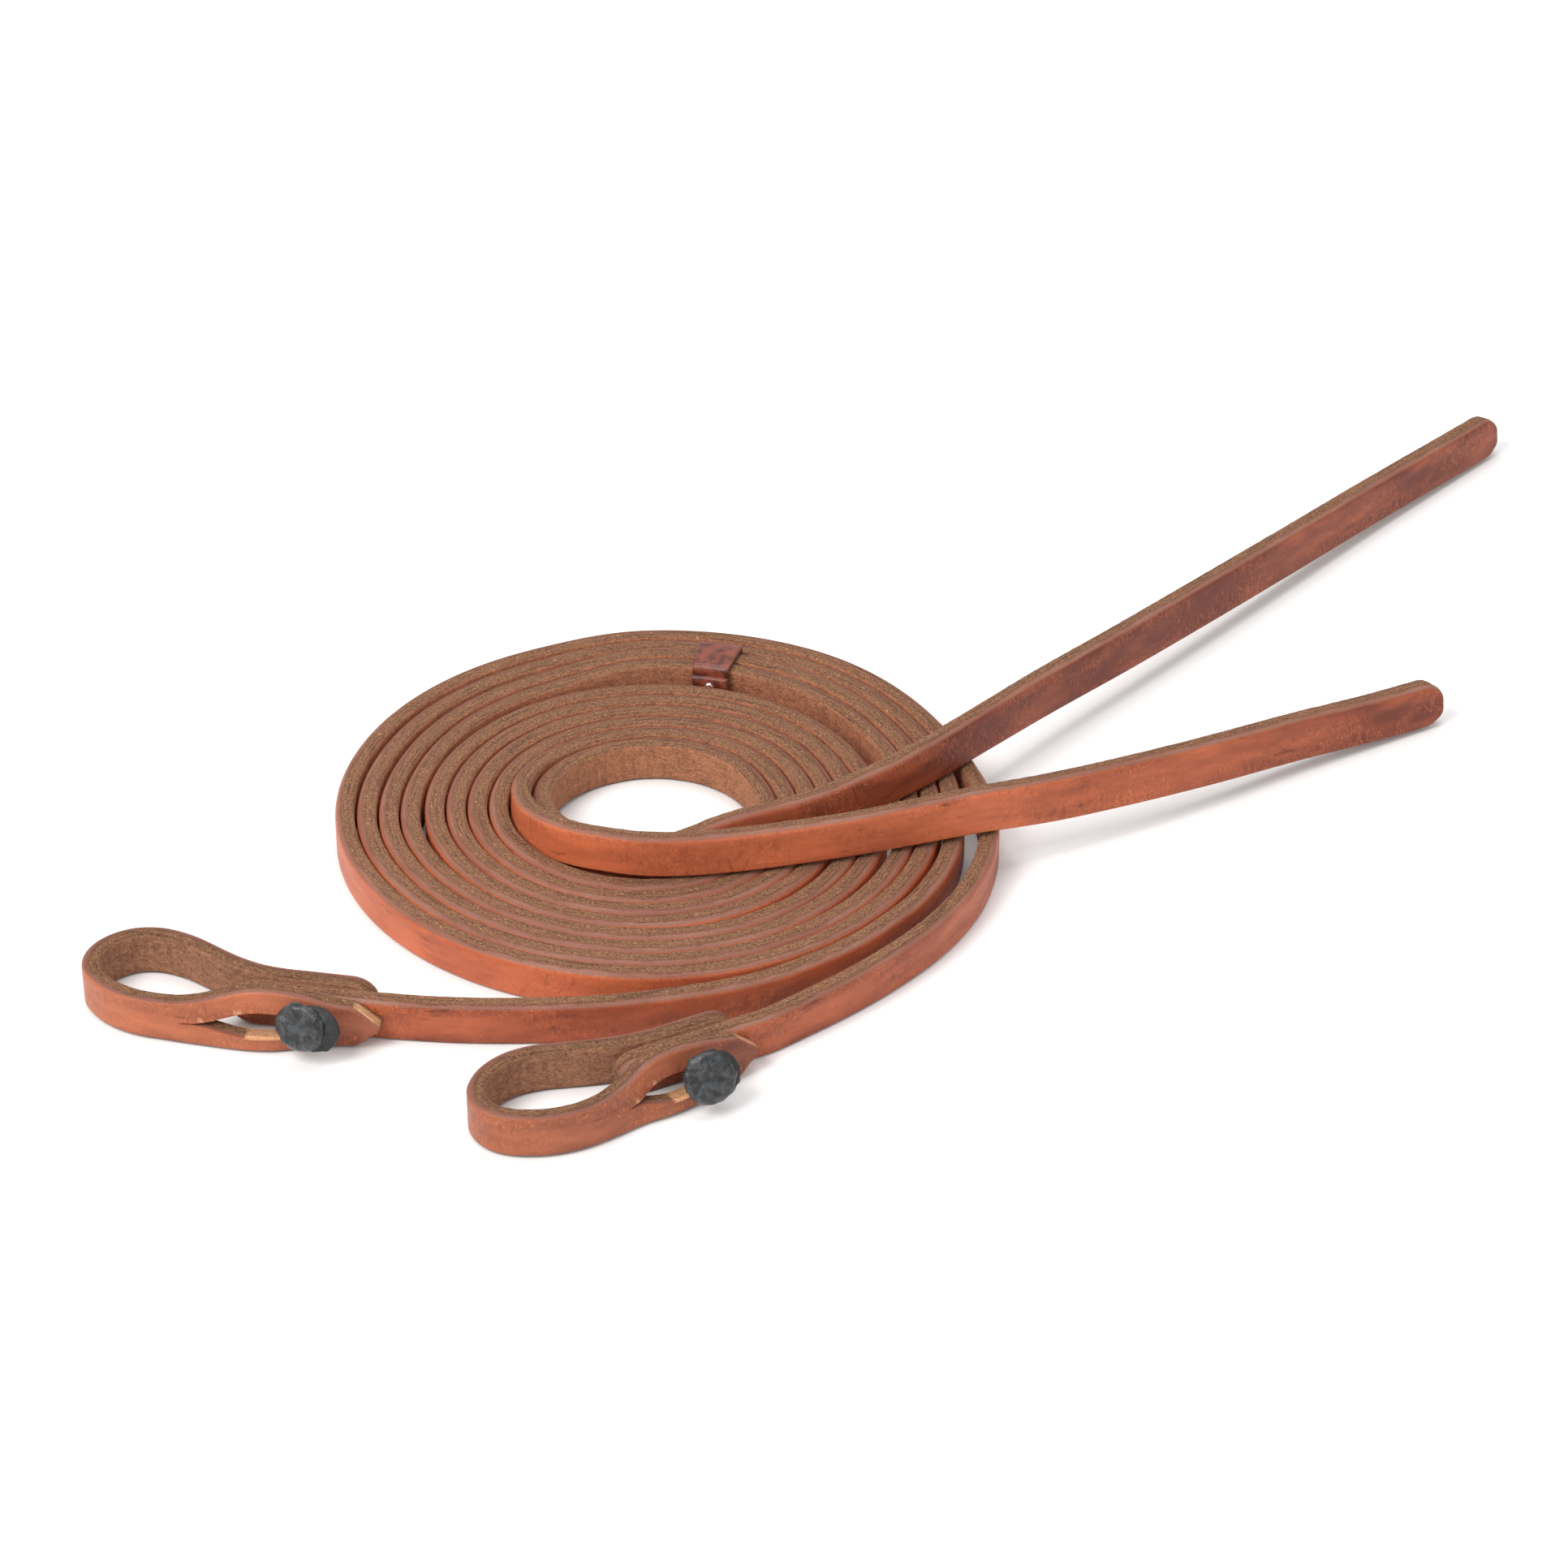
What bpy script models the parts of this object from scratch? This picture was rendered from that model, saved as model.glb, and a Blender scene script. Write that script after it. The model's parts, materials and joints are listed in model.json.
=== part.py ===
"""A pair of leather split reins, wound together on edge into one flat coil.

Each rein is one long strap. A folded bit loop strap is buttoned to its front end by a knotted
thong, and a sliding keeper band with a small rivet wraps both reins at the back of the coil.

Lengths are in millimetres here and are turned into metres where a mesh is made. The layout is
drawn around a point near the coil's middle, and LAYOUT_SHIFT moves the whole set so that the
origin is at the middle of its box, on the surface it lies on.
"""
from math import atan2, ceil, cos, hypot, pi, radians, sin, sqrt

import bmesh
import bpy
from mathutils import Matrix, Vector

MM = 0.001
LAYOUT_SHIFT = (-60.89, -36.42)

# Rein straps
STRAP_WIDTH = 11.6            # stands upright, so this is its height
STRAP_THICKNESS = 5.5
TAIL_WIDENING = 1.6           # the tails are cut a little wider and thicker, which weights them
TAIL_THICKENING = 0.7
STRAP_GAP = 0.45              # between neighbouring straps in the coil
LENGTH_STEP = 6.0             # spacing of cross-sections where a strap isn't coiled
ROUND_END = 6.5               # length over which a strap's end is rounded off
FLAT_END = 0.45               # what the rounding leaves off at the very end

# Coil
COIL_CENTRE = (2.0, 0.0)
COIL_OUTER_RADIUS = 90.0
COIL_STRETCH = 1.02           # the coil is slightly wider than it is deep
COIL_START = 25.0             # degrees round from +X, where each rein joins the coil
COIL_END = 4 * 360.0 + 270.0
ANGLE_STEP = 5.0
STEP_BEGINS = 243.0           # degrees after COIL_START, where a turn starts to step inwards
LOOSE_RANGE = (88.0, 125.0, 158.0, 200.0)  # where the outer straps rise to and fall from their
LOOSE_SHIFT = (0.8, 1.5, 2.2, 2.35)        # shift inwards at the back left, outermost first
INNER_DROP = 2.8              # extra space between the second and third turns
INNER_SHIFT = (-1.2, -2.65)   # the inner three turns lie a little to the front
RISE_BEGINS = 4 * 360.0 + 112.0
RISE_ENDS = 4 * 360.0 + 272.0
SEAT_BEGINS = 4 * 360.0 + 246.0  # where the risen ends start to spread over the coil
SEAT_ENDS = 4 * 360.0 + 278.0
SEAT_SHIFT = 1.7
GROWTH_BEGINS = 60.0          # the tails grow from here, along X
GROWTH_LENGTH = 105.0
FRONT_LEAN = 6.0              # degrees, the last turn leans towards the middle at the front

# Keeper band, and the room that the straps leave for it
KEEPER_ANGLE = 77.5
KEEPER_WIDTH = 12.0
KEEPER_WALL = 1.5
KEEPER_CLEARANCE = 0.35
KEEPER_HALF = STRAP_THICKNESS + STRAP_GAP / 2 + KEEPER_CLEARANCE
KEEPER_PIVOT = (2.0, -2.7)    # centre of curvature of the straps inside it
KEEPER_RADIUS = 75.1
KEEPER_TURN = 1               # it wraps the second turn of both reins
LIFT = 1.9                    # the wrapped straps ride on the band's lower wall
ROOM_FULL = 16.0              # degrees either side of the keeper with full room
ROOM_ENDS = (52.0, 38.0)      # where the room ends, before and after the keeper
RIVET_HEIGHT = 9.2
RIVET_HEAD_RADIUS = 1.6
RIVET_HEAD_HEIGHT = 0.95
RIVET_POST_RADIUS = 0.55
RIVET_HOLE_RADIUS = 0.85
RIVET_FLANGE_RADIUS = 1.3
RIVET_RECESS = (1.6, 0.85)    # radius and depth, in the face that touches the strap
FIT = 0.3                     # gap between pieces that touch

# Bit loops
LOOP_WIDTH = 12.4
LOOP_THICKNESS = 4.8
FLAP = STRAP_THICKNESS / 2 + FIT + LOOP_THICKNESS / 2
ARROW_END = 6.5
SLIT_BEGINS = 3.4             # from the knot towards the tip of the near flap
SLIT_ENDS = {"a": -31.0, "b": -25.0}
SLIT_OPEN_UP = 2.5            # slit edges above and below the knot's shank
SLIT_OPEN_DOWN = 2.0
SLIT_TURN_OUT = 1.1           # the upper edge of the slit is turned outwards by this much
REIN_END_REACH = {"a": 19.5, "b": 21.0}    # the rein ends inside the loop, beyond the knot
STRAIGHT_REACH = 24.0
KNOT_HEIGHT = 6.2
KNOT_SHANK_RADIUS = 1.7
KNOT_HOLE_RADIUS = 2.1
KNOT_HEAD_PITCH = 20.0        # degrees, the head is tipped up and turned towards the loop
KNOT_SIDES = 20

# Each bit end: the knot's place on the rein, and the rein's heading there in degrees
BIT_ENDS = {"a": ((-90.3, -95.5), -10.5), "b": ((13.0, -117.6), 28.0)}

# Each knot's head: the middle of its back (along, out, up), its turn in degrees, how far its
# back roll sits to the side of its front roll, and its width and height beside a plain one's
KNOT_HEADS = {"a": ((4.6, 12.9, 3.4), -15.0, 3.4, (1.15, 1.03)),
              "b": ((-1.1, 14.1, 3.0), -20.0, 1.4, (1.1, 1.14))}

# The near flap, whose slit is spread by the knot: distance along the rein from the knot, how far
# out its upper and lower edges are, and how much its upper edge is raised
FLAP_TIP = {"a": 22.6, "b": 17.4}
NEAR_FLAP = [
    (13.0, FLAP, 6.0, 0.0), (8.5, FLAP, 7.3, 0.4),
    (4.4, FLAP, 8.8, 1.2), (0.0, 5.6, 10.1, 2.1), (-5.0, 5.6, 11.8, 2.6),
    (-9.5, 5.8, 12.6, 2.6), (-14.0, 6.4, 12.9, 2.2), (-18.0, 7.6, 12.9, 1.6),
]

# The bend round the bit: distance along, and how far out the upper and lower edges are
BENDS = {
    "a": [(-22.0, 9.0, 12.8), (-26.0, 10.4, 12.6), (-31.0, 11.5, 12.3), (-36.0, 11.9, 11.9),
          (-41.0, 11.6, 11.6), (-46.0, 10.5, 10.5), (-51.0, 8.4, 8.4), (-55.5, 5.1, 5.1),
          (-58.8, 1.0, 1.0), (-60.0, -4.0, -4.0), (-59.0, -9.0, -9.0), (-56.0, -13.4, -13.4),
          (-51.5, -16.6, -16.6), (-46.0, -17.8, -17.8), (-41.0, -17.3, -17.3),
          (-35.5, -15.6, -15.6), (-30.5, -13.2, -13.2), (-25.0, -10.4, -10.4),
          (-19.6, -8.0, -8.0), (-13.5, -6.2, -6.2)],
    "b": [(-22.0, 9.8, 13.2), (-26.0, 11.8, 13.8), (-31.0, 13.6, 14.4), (-36.0, 14.6, 14.8),
          (-41.0, 14.6, 14.6), (-46.0, 13.6, 13.6), (-51.0, 11.6, 11.6), (-55.5, 8.8, 8.8),
          (-58.7, 5.0, 5.0), (-60.0, 0.0, 0.0), (-59.0, -5.0, -5.0), (-55.5, -9.3, -9.3),
          (-51.0, -12.2, -12.2), (-46.0, -13.7, -13.7), (-41.0, -13.8, -13.8),
          (-36.0, -12.9, -12.9), (-30.0, -10.9, -10.9), (-24.0, -8.8, -8.8),
          (-18.0, -7.1, -7.1), (-12.0, -6.0, -6.0)],
}
FAR_FLAP = [(-7.0, -FLAP, -FLAP), (0.0, -FLAP, -FLAP), (8.0, -FLAP, -FLAP)]
FAR_END = {"a": 18.5, "b": 15.5}

# The reins' leads, from the straight stretch at the knot to the coil: (x, y)
LEADS = {
    "a": [(-49.4, -101.6), (-32.1, -101.9), (-15.0, -101.0), (0.0, -98.9), (16.0, -95.2),
          (29.5, -90.9), (38.6, -86.2), (47.6, -80.4), (57.0, -73.2), (66.2, -63.6),
          (75.6, -51.3), (82.4, -37.0), (86.2, -22.0), (87.0, -6.0), (85.0, 11.0),
          (81.8, 23.5)],
    "b": [(44.2, -98.6), (55.0, -89.6), (66.1, -79.0), (77.3, -66.2), (85.6, -53.6),
          (91.7, -40.5), (95.6, -25.5), (96.8, -11.5), (95.0, 3.5), (91.2, 16.5),
          (87.2, 28.0)],
}

# The tails, from the front of the coil to the tip: (x, y, height of the lower edge, lean)
TAILS = {
    "a": [(5.6, -34.9, 6.6, 6.5), (13.2, -33.6, 8.9, 7.5), (19.5, -32.0, 10.7, 8.0),
          (30.6, -27.9, 12.0, 9.0), (40.0, -23.9, 12.0, 9.5), (48.9, -18.9, 12.0, 9.0),
          (63.6, -7.8, 12.0, 8.0), (77.4, 4.2, 12.0, 6.5), (92.7, 20.0, 11.9, 6.0),
          (116.3, 47.9, 9.6, 7.0), (142.1, 76.7, 7.5, 9.0), (168.9, 107.3, 5.7, 9.5),
          (196.7, 139.7, 3.8, 9.0), (225.5, 173.5, 2.0, 8.0), (256.8, 208.6, 0.6, 7.0),
          (271.0, 224.2, 0.2, 7.0)],
    "b": [(6.0, -41.2, 12.0, 6.5), (14.5, -40.7, 12.0, 7.0), (23.3, -39.4, 12.0, 7.5),
          (34.0, -37.3, 12.0, 8.0), (45.6, -34.5, 12.0, 8.5), (59.1, -30.9, 12.0, 9.0),
          (72.8, -26.6, 12.0, 9.5), (92.2, -20.3, 12.0, 10.0), (114.2, -10.7, 9.7, 10.0),
          (137.8, 1.2, 7.9, 10.0), (162.1, 15.1, 5.9, 9.0), (187.0, 30.9, 3.5, 8.0),
          (212.9, 46.3, 1.1, 7.0), (233.3, 58.2, 0.1, 7.0)],
}
REIN_LAG = {"a": 1, "b": 0}   # rein a lies one strap further in than rein b
REIN_RISE = {"a": 5.2, "b": 12.0}


def smoothstep(value):
    """0 below 0, 1 above 1, and a smooth rise between."""
    value = min(max(value, 0.0), 1.0)
    return value * value * (3.0 - 2.0 * value)


def keeper_room(angle):
    """How far the straps make room for the keeper at this angle, from 0 to 1."""
    away = (angle - KEEPER_ANGLE + 180.0) % 360.0 - 180.0
    ends = ROOM_ENDS[away > 0]
    return smoothstep((ends - abs(away)) / (ends - ROOM_FULL))


def looseness(angle):
    """How far the outer straps are shifted inwards at this angle, from 0 to 1."""
    rise, full, fall, end = LOOSE_RANGE
    angle %= 360.0
    return smoothstep((angle - rise) / (full - rise)) * smoothstep((end - angle) / (end - fall))


def coil_point(angle, lag, rise):
    """A strap in the coil: x, y, height of its lower edge, lean and growth, at an angle."""
    turn = int((angle - COIL_START) // 360.0)
    within = (angle - COIL_START) % 360.0
    step = smoothstep((within - STEP_BEGINS) / (360.0 - STEP_BEGINS))
    pitch = STRAP_THICKNESS + STRAP_GAP
    inner = 0.0 if turn < 1 else step if turn == 1 else 1.0
    radius = COIL_OUTER_RADIUS - STRAP_THICKNESS / 2 - lag * pitch
    radius -= 2 * pitch * (turn + step) + INNER_DROP * inner
    if turn < 2:
        radius -= LOOSE_SHIFT[2 * turn + lag] * looseness(angle)
    height = 0.0
    if turn == 0:
        radius += LIFT * keeper_room(angle)
    if turn == KEEPER_TURN:
        height = LIFT * keeper_room(angle)
    climb = smoothstep((angle - RISE_BEGINS) / (RISE_ENDS - RISE_BEGINS))
    radius += SEAT_SHIFT * smoothstep((angle - SEAT_BEGINS) / (SEAT_ENDS - SEAT_BEGINS))
    x = COIL_CENTRE[0] + INNER_SHIFT[0] * inner + COIL_STRETCH * radius * cos(radians(angle))
    y = COIL_CENTRE[1] + INNER_SHIFT[1] * inner + radius * sin(radians(angle))
    return (x, y, height + rise * climb, FRONT_LEAN * climb, 0.0)


def curve_through(points, spacing):
    """A smooth curve through the points, cut into even lengths of about the spacing."""
    samples = [tuple(points[0])]
    for index in range(len(points) - 1):
        before = points[max(index - 1, 0)]
        start = points[index]
        end = points[index + 1]
        after = points[min(index + 2, len(points) - 1)]
        pieces = max(1, ceil(hypot(end[0] - start[0], end[1] - start[1]) / spacing))
        for piece in range(1, pieces + 1):
            t = piece / pieces
            samples.append(tuple(
                0.5 * (2 * q + (r - p) * t + (2 * p - 5 * q + 4 * r - s) * t * t
                       + (3 * q - p - 3 * r + s) * t ** 3)
                for p, q, r, s in zip(before, start, end, after)))
    return samples


def in_layout(side, along, out):
    """Layout coordinates of a point given along and out from a bit end's knot."""
    (x, y), heading = BIT_ENDS[side]
    turn = radians(heading)
    return (x + along * cos(turn) + out * sin(turn), y + along * sin(turn) - out * cos(turn))


def rein_route(side):
    """The whole rein from its end inside the bit loop to its tip.

    Each point is (x, y, height, lean, growth). Growth first widens the strap, up to a half, and
    then thickens it, up to 1.
    """
    straight = [in_layout(side, reach, 0.0)
                for reach in (-REIN_END_REACH[side], -8.0, 0.0, 8.0, 16.0, STRAIGHT_REACH)]
    turns = int(round((COIL_END - COIL_START) / ANGLE_STEP))
    coil = [coil_point(COIL_START + ANGLE_STEP * i, REIN_LAG[side], REIN_RISE[side])
            for i in range(turns + 1)]
    lead = [(x, y, 0.0, 0.0, 0.0) for x, y in straight + LEADS[side]]
    tail = [point + (min(max((point[0] - GROWTH_BEGINS) / GROWTH_LENGTH, 0.0), 1.0),)
            for point in TAILS[side]]
    front = curve_through(lead + coil[:1], LENGTH_STEP)
    back = curve_through([coil[-1]] + tail, LENGTH_STEP)
    return front[:-1] + coil + back[1:]


def strap_size(growth):
    """A rein's width and thickness where it has grown by this much."""
    return (STRAP_WIDTH + TAIL_WIDENING * min(1.0, 2 * growth),
            STRAP_THICKNESS + TAIL_THICKENING * max(0.0, 2 * growth - 1.0))


def rounded_ends(distance, length):
    """Half-height of a strap with two rounded ends, as a fraction of its full half-height."""
    from_end = min(distance, length - distance, ROUND_END)
    inset = (ROUND_END - from_end) * (1 - FLAT_END / ROUND_END)
    return sqrt(1.0 - (inset / ROUND_END) ** 2)


def loop_ends(distance, length):
    """Half-height of a loop strap: arrow-cut at its start and rounded at its end."""
    arrow = 0.12 + 0.88 * distance / ARROW_END
    return min(arrow, rounded_ends(max(distance, ROUND_END), length), 1.0)


def with_end_points(route):
    """The route with extra points near both ends, where the outline is rounded."""
    fractions = (0.06, 0.18, 0.38, 0.66)
    route = list(route)
    for end, inner in ((0, 1), (-1, -2)):
        first = route[end]
        second = route[inner]
        reach = hypot(second[0] - first[0], second[1] - first[1])
        share = min(1.0, ROUND_END / reach)
        extra = [tuple(p + (q - p) * share * f for p, q in zip(first, second)) for f in fractions]
        if end == 0:
            route[1:1] = extra
        else:
            route[-1:-1] = reversed(extra)
    return route


def distances_along(route):
    """The distance of each point of a route from its start."""
    distances = [0.0]
    for p, q in zip(route, route[1:]):
        distances.append(distances[-1] + hypot(q[0] - p[0], q[1] - p[1]))
    return distances


def heading_at(route, i):
    """The direction of a route at one of its points."""
    before = route[max(i - 1, 0)]
    after = route[min(i + 1, len(route) - 1)]
    return atan2(after[1] - before[1], after[0] - before[0])


def place(name, bm, parent, colour=None, smooth=False):
    """Make an object from a bmesh drawn in millimetres in its parent's frame."""
    bmesh.ops.recalc_face_normals(bm, faces=bm.faces)
    bmesh.ops.scale(bm, vec=(MM, MM, MM), verts=bm.verts)
    mesh = bpy.data.meshes.new(name)
    bm.to_mesh(mesh)
    bm.free()
    if smooth:
        mesh.shade_smooth()
        mesh.set_sharp_from_angle(angle=radians(40.0))
    piece = bpy.data.objects.new(name, mesh)
    piece.parent = parent
    bpy.context.collection.objects.link(piece)
    if colour:
        mesh.materials.append(colour)
    return piece


def frame_at(name, x, y, z, heading, parent=None):
    """An empty that carries the pieces drawn in its frame."""
    empty = bpy.data.objects.new(name, None)
    empty.empty_display_size = 0.01
    empty.location = (x * MM, y * MM, z * MM)
    empty.rotation_euler = (0.0, 0.0, radians(heading))
    empty.parent = parent
    bpy.context.collection.objects.link(empty)
    return empty


def side_faces(bm, ring, following, corners):
    """Quads between two rings, along each pair of neighbouring corners."""
    for start, end in corners:
        bm.faces.new((ring[start], ring[end], following[end], following[start]))


def rein(side):
    """One whole rein, a flat strap standing on edge."""
    route = with_end_points(rein_route(side))
    distances = distances_along(route)
    bm = bmesh.new()
    rings = []
    for i, (x, y, height, lean, growth) in enumerate(route):
        heading = heading_at(route, i)
        left = Vector((-sin(heading), cos(heading), 0.0))
        tilt = radians(lean)
        across = left * cos(tilt) - Vector((0, 0, sin(tilt)))
        upright = left * sin(tilt) + Vector((0, 0, cos(tilt)))
        width, thickness = strap_size(growth)
        foot = Vector((x, y, height + thickness / 2 * sin(tilt)))
        half = width / 2 * rounded_ends(distances[i], distances[-1])
        rings.append([bm.verts.new(foot + across * (face * thickness / 2)
                                   + upright * (width / 2 + end * half))
                      for face, end in ((1, -1), (-1, -1), (-1, 1), (1, 1))])
    for ring, following in zip(rings, rings[1:]):
        side_faces(bm, ring, following, ((0, 1), (1, 2), (2, 3), (3, 0)))
    bm.faces.new(rings[0])
    bm.faces.new(rings[-1])
    return bm


def slit_opening(side, along):
    """How far the slit is open at this distance from the knot, from 0 to 1."""
    if along <= SLIT_ENDS[side] or along >= SLIT_BEGINS:
        return 0.0
    from_end = smoothstep((along - SLIT_ENDS[side]) / (-9.0 - SLIT_ENDS[side]))
    from_knot = min(1.0, (SLIT_BEGINS - along) / 1.3)
    return max(0.08, from_end * from_knot)


def loop_route(side):
    """The loop strap from its tip to the end of the far flap: (along, upper, lower, raised)."""
    far = FAR_FLAP + [(FAR_END[side], -FLAP, -FLAP)]
    corners = [(FLAP_TIP[side], FLAP, FLAP, 0.0)] + NEAR_FLAP
    corners += [point + (raised,) for point, raised in zip(BENDS[side], (1.0, 0.4))]
    corners += [point + (0.0,) for point in BENDS[side][2:] + far]
    route = curve_through(corners, 3.2)
    for along in (SLIT_BEGINS, 1.9, SLIT_ENDS[side]):
        index = next(i for i, point in enumerate(route) if point[0] < along)
        before = route[index - 1]
        share = (before[0] - along) / (before[0] - route[index][0])
        route.insert(index, tuple(p + (q - p) * share for p, q in zip(before, route[index])))
    return with_end_points(route)


def bit_loop(side):
    """The folded loop strap, in a frame at its knot: X along the rein, Y inwards, Z up."""
    route = loop_route(side)
    middle = [(along, -(upper + lower) / 2) for along, upper, lower, _ in route]
    distances = distances_along(middle)
    bm = bmesh.new()
    stations = []
    for i, (along, upper, lower, raised) in enumerate(route):
        heading = heading_at(middle, i)
        aside = Vector((sin(heading), -cos(heading), 0.0)) * LOOP_THICKNESS / 2
        half = LOOP_WIDTH / 2 * loop_ends(distances[i], distances[-1])
        low = LOOP_WIDTH / 2 - half - KNOT_HEIGHT
        high = LOOP_WIDTH / 2 + half + raised - KNOT_HEIGHT
        between = (upper + lower) / 2
        opening = slit_opening(side, along) if distances[i] < distances[-1] / 2 else 0.0

        def corner(face, out, height):
            return bm.verts.new(Vector((along, -out, height)) + aside * face)

        station = {"low": [corner(face, lower, low) for face in (1, -1)],
                   "high": [corner(face, upper, high) for face in (1, -1)]}
        if opening:
            up = upper + SLIT_TURN_OUT + (between - upper - SLIT_TURN_OUT) * (1 - opening) ** 2
            down = lower + (between - lower) * (1 - opening) ** 2
            station["above"] = [corner(face, up, SLIT_OPEN_UP * opening) for face in (1, -1)]
            station["below"] = [corner(face, down, -SLIT_OPEN_DOWN * opening)
                                for face in (1, -1)]
        else:
            station["above"] = [corner(face, between, (low + high) / 2 - 0.6 * raised)
                                for face in (1, -1)]
            station["below"] = station["above"]
        stations.append(station)
    for here, there in zip(stations, stations[1:]):
        for start, end in (("low", "below"), ("above", "high")):
            for face in (0, 1):
                bm.faces.new((here[start][face], here[end][face],
                              there[end][face], there[start][face]))
        shut = here["above"] is here["below"] and there["above"] is there["below"]
        for rim in ("low", "high") if shut else ("low", "below", "above", "high"):
            bm.faces.new((here[rim][0], here[rim][1], there[rim][1], there[rim][0]))
    for end in (stations[0], stations[-1]):
        bm.faces.new((end["low"][0], end["above"][0], end["high"][0],
                      end["high"][1], end["above"][1], end["low"][1]))
    return bm


def lofted(bm, rings):
    """A closed skin through rings of (centre, turn, radius, (width, height)), flat at its ends."""
    skins = []
    for centre, turn, radius, (wide, high) in rings:
        around = [2 * pi * i / KNOT_SIDES for i in range(KNOT_SIDES)]
        skins.append([bm.verts.new(Vector(centre) + turn
                                   @ Vector((radius * wide * cos(a), 0.0, radius * high * sin(a))))
                      for a in around])
    pairs = [(i, (i + 1) % KNOT_SIDES) for i in range(KNOT_SIDES)]
    for skin, following in zip(skins, skins[1:]):
        side_faces(bm, skin, following, pairs)
    bm.faces.new(skins[0])
    bm.faces.new(skins[-1])
    return bm


def bleed_knot(side):
    """The thong's tucked end, its shank through three layers and its rolled button head."""
    (along, out, up), turned, aside, size = KNOT_HEADS[side]
    straight = Matrix.Identity(3)
    tipped = (Matrix.Rotation(radians(turned), 3, "Z")
              @ Matrix.Rotation(radians(-KNOT_HEAD_PITCH), 3, "X"))
    face = FLAP + LOOP_THICKNESS / 2 + FIT
    plain = (1.0, 1.0)
    rings = [((0.0, face + reach, 0.0), straight, radius, plain)
             for reach, radius in ((2.0, 2.4), (1.5, 3.2), (0.0, 3.2), (0.0, KNOT_SHANK_RADIUS),
                                   (-2 * face, KNOT_SHANK_RADIUS))]
    back = Vector((along, -out, up))
    for reach, radius, back_roll in ((0.0, KNOT_SHANK_RADIUS, 0.0), (0.0, 4.6, 1.0),
                                     (0.7, 5.9, 1.0), (2.0, 6.1, 0.9), (2.5, 5.8, 0.4),
                                     (3.0, 6.5, 0.0), (4.3, 6.4, 0.0), (5.1, 5.4, 0.0)):
        centre = back + tipped @ Vector((aside * back_roll, -reach, 0.0))
        rings.append((centre, tipped, radius, plain if reach == 0.0 else size))
    return lofted(bmesh.new(), rings)


def shank_cutter():
    """The round hole for a knot's shank, through the rein and the far flap."""
    rings = [((0.0, y, 0.0), Matrix.Identity(3), KNOT_HOLE_RADIUS, (1.0, 1.0))
             for y in (12.0, -3.05)]
    return lofted(bmesh.new(), rings)


def cut(piece, tool):
    """Subtract a cutter, which is hidden, from a piece."""
    tool.hide_render = True
    tool.display_type = "WIRE"
    boolean = piece.modifiers.new(tool.name, "BOOLEAN")
    boolean.operation = "DIFFERENCE"
    boolean.solver = "EXACT"
    boolean.object = tool


def turned_about_x(profile, height):
    """A solid turned from a profile of (x, radius) that starts and ends on its axis."""
    bm = bmesh.new()
    verts = [bm.verts.new((x, 0.0, height + radius)) for x, radius in profile]
    edges = [bm.edges.new(pair) for pair in zip(verts, verts[1:])]
    bmesh.ops.spin(bm, geom=verts + edges, cent=(0, 0, height), axis=(1, 0, 0),
                   angle=2 * pi, steps=16, use_duplicate=False)
    bmesh.ops.remove_doubles(bm, verts=bm.verts, dist=0.001)
    return bm


def keeper_band():
    """A leather band around two straps, in a frame at their centre of curvature.

    X points from the centre to the keeper. The band's ends overlap on the inner side.
    """
    outer = KEEPER_RADIUS + KEEPER_HALF
    inner = KEEPER_RADIUS - KEEPER_HALF
    low = LIFT - KEEPER_CLEARANCE
    high = LIFT + STRAP_WIDTH + KEEPER_CLEARANCE
    seam = (RIVET_HEIGHT + 2.6, RIVET_HEIGHT + 3.1)
    foot = low - KEEPER_WALL + 0.05
    shell = [(outer + KEEPER_WALL, foot), (outer + KEEPER_WALL, high + KEEPER_WALL),
             (inner - KEEPER_WALL, high + KEEPER_WALL), (inner - KEEPER_WALL, seam[1]),
             (inner - 2 * KEEPER_WALL, seam[0]), (inner - 2 * KEEPER_WALL, foot)]
    lining = [(outer, low), (outer, high), (inner, high), (inner, seam[1]), (inner, seam[0]),
              (inner, low)]
    corners = len(shell)
    pairs = [(i, (i + 1) % corners) for i in range(corners)]
    bm = bmesh.new()
    rings = []
    for share in (-1.0, -0.5, 0.0, 0.5, 1.0):
        turn = share * KEEPER_WIDTH / 2 / KEEPER_RADIUS
        rings.append([bm.verts.new((radius * cos(turn), radius * sin(turn), height))
                      for radius, height in shell + lining])
    for ring, following in zip(rings, rings[1:]):
        side_faces(bm, ring, following, pairs)
        side_faces(bm, ring, following, [(a + corners, b + corners) for a, b in pairs])
    for ring in (rings[0], rings[-1]):
        for a, b in pairs:
            bm.faces.new((ring[a], ring[b], ring[corners + b], ring[corners + a]))
    return bm


def rivet_cutter():
    """The rivet's hole through both layers of the band and the recess for its flange."""
    wall = KEEPER_RADIUS - KEEPER_HALF
    radius, depth = RIVET_RECESS
    through = wall - 2 * KEEPER_WALL - 1.0
    return turned_about_x([(wall + 1.0, 0.0), (wall + 1.0, radius), (wall - depth, radius),
                           (wall - depth, RIVET_HOLE_RADIUS), (through, RIVET_HOLE_RADIUS),
                           (through, 0.0)], RIVET_HEIGHT)


def rivet_post():
    """The rivet's flange, sunk in the band's inner face, and its post."""
    flange = KEEPER_RADIUS - KEEPER_HALF - 0.1
    end = flange - 2 * KEEPER_WALL - 0.4
    return turned_about_x([(flange, 0.0), (flange, RIVET_FLANGE_RADIUS),
                           (flange - 0.45, RIVET_FLANGE_RADIUS),
                           (flange - 0.45, RIVET_POST_RADIUS), (end, RIVET_POST_RADIUS),
                           (end, 0.0)], RIVET_HEIGHT)


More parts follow.
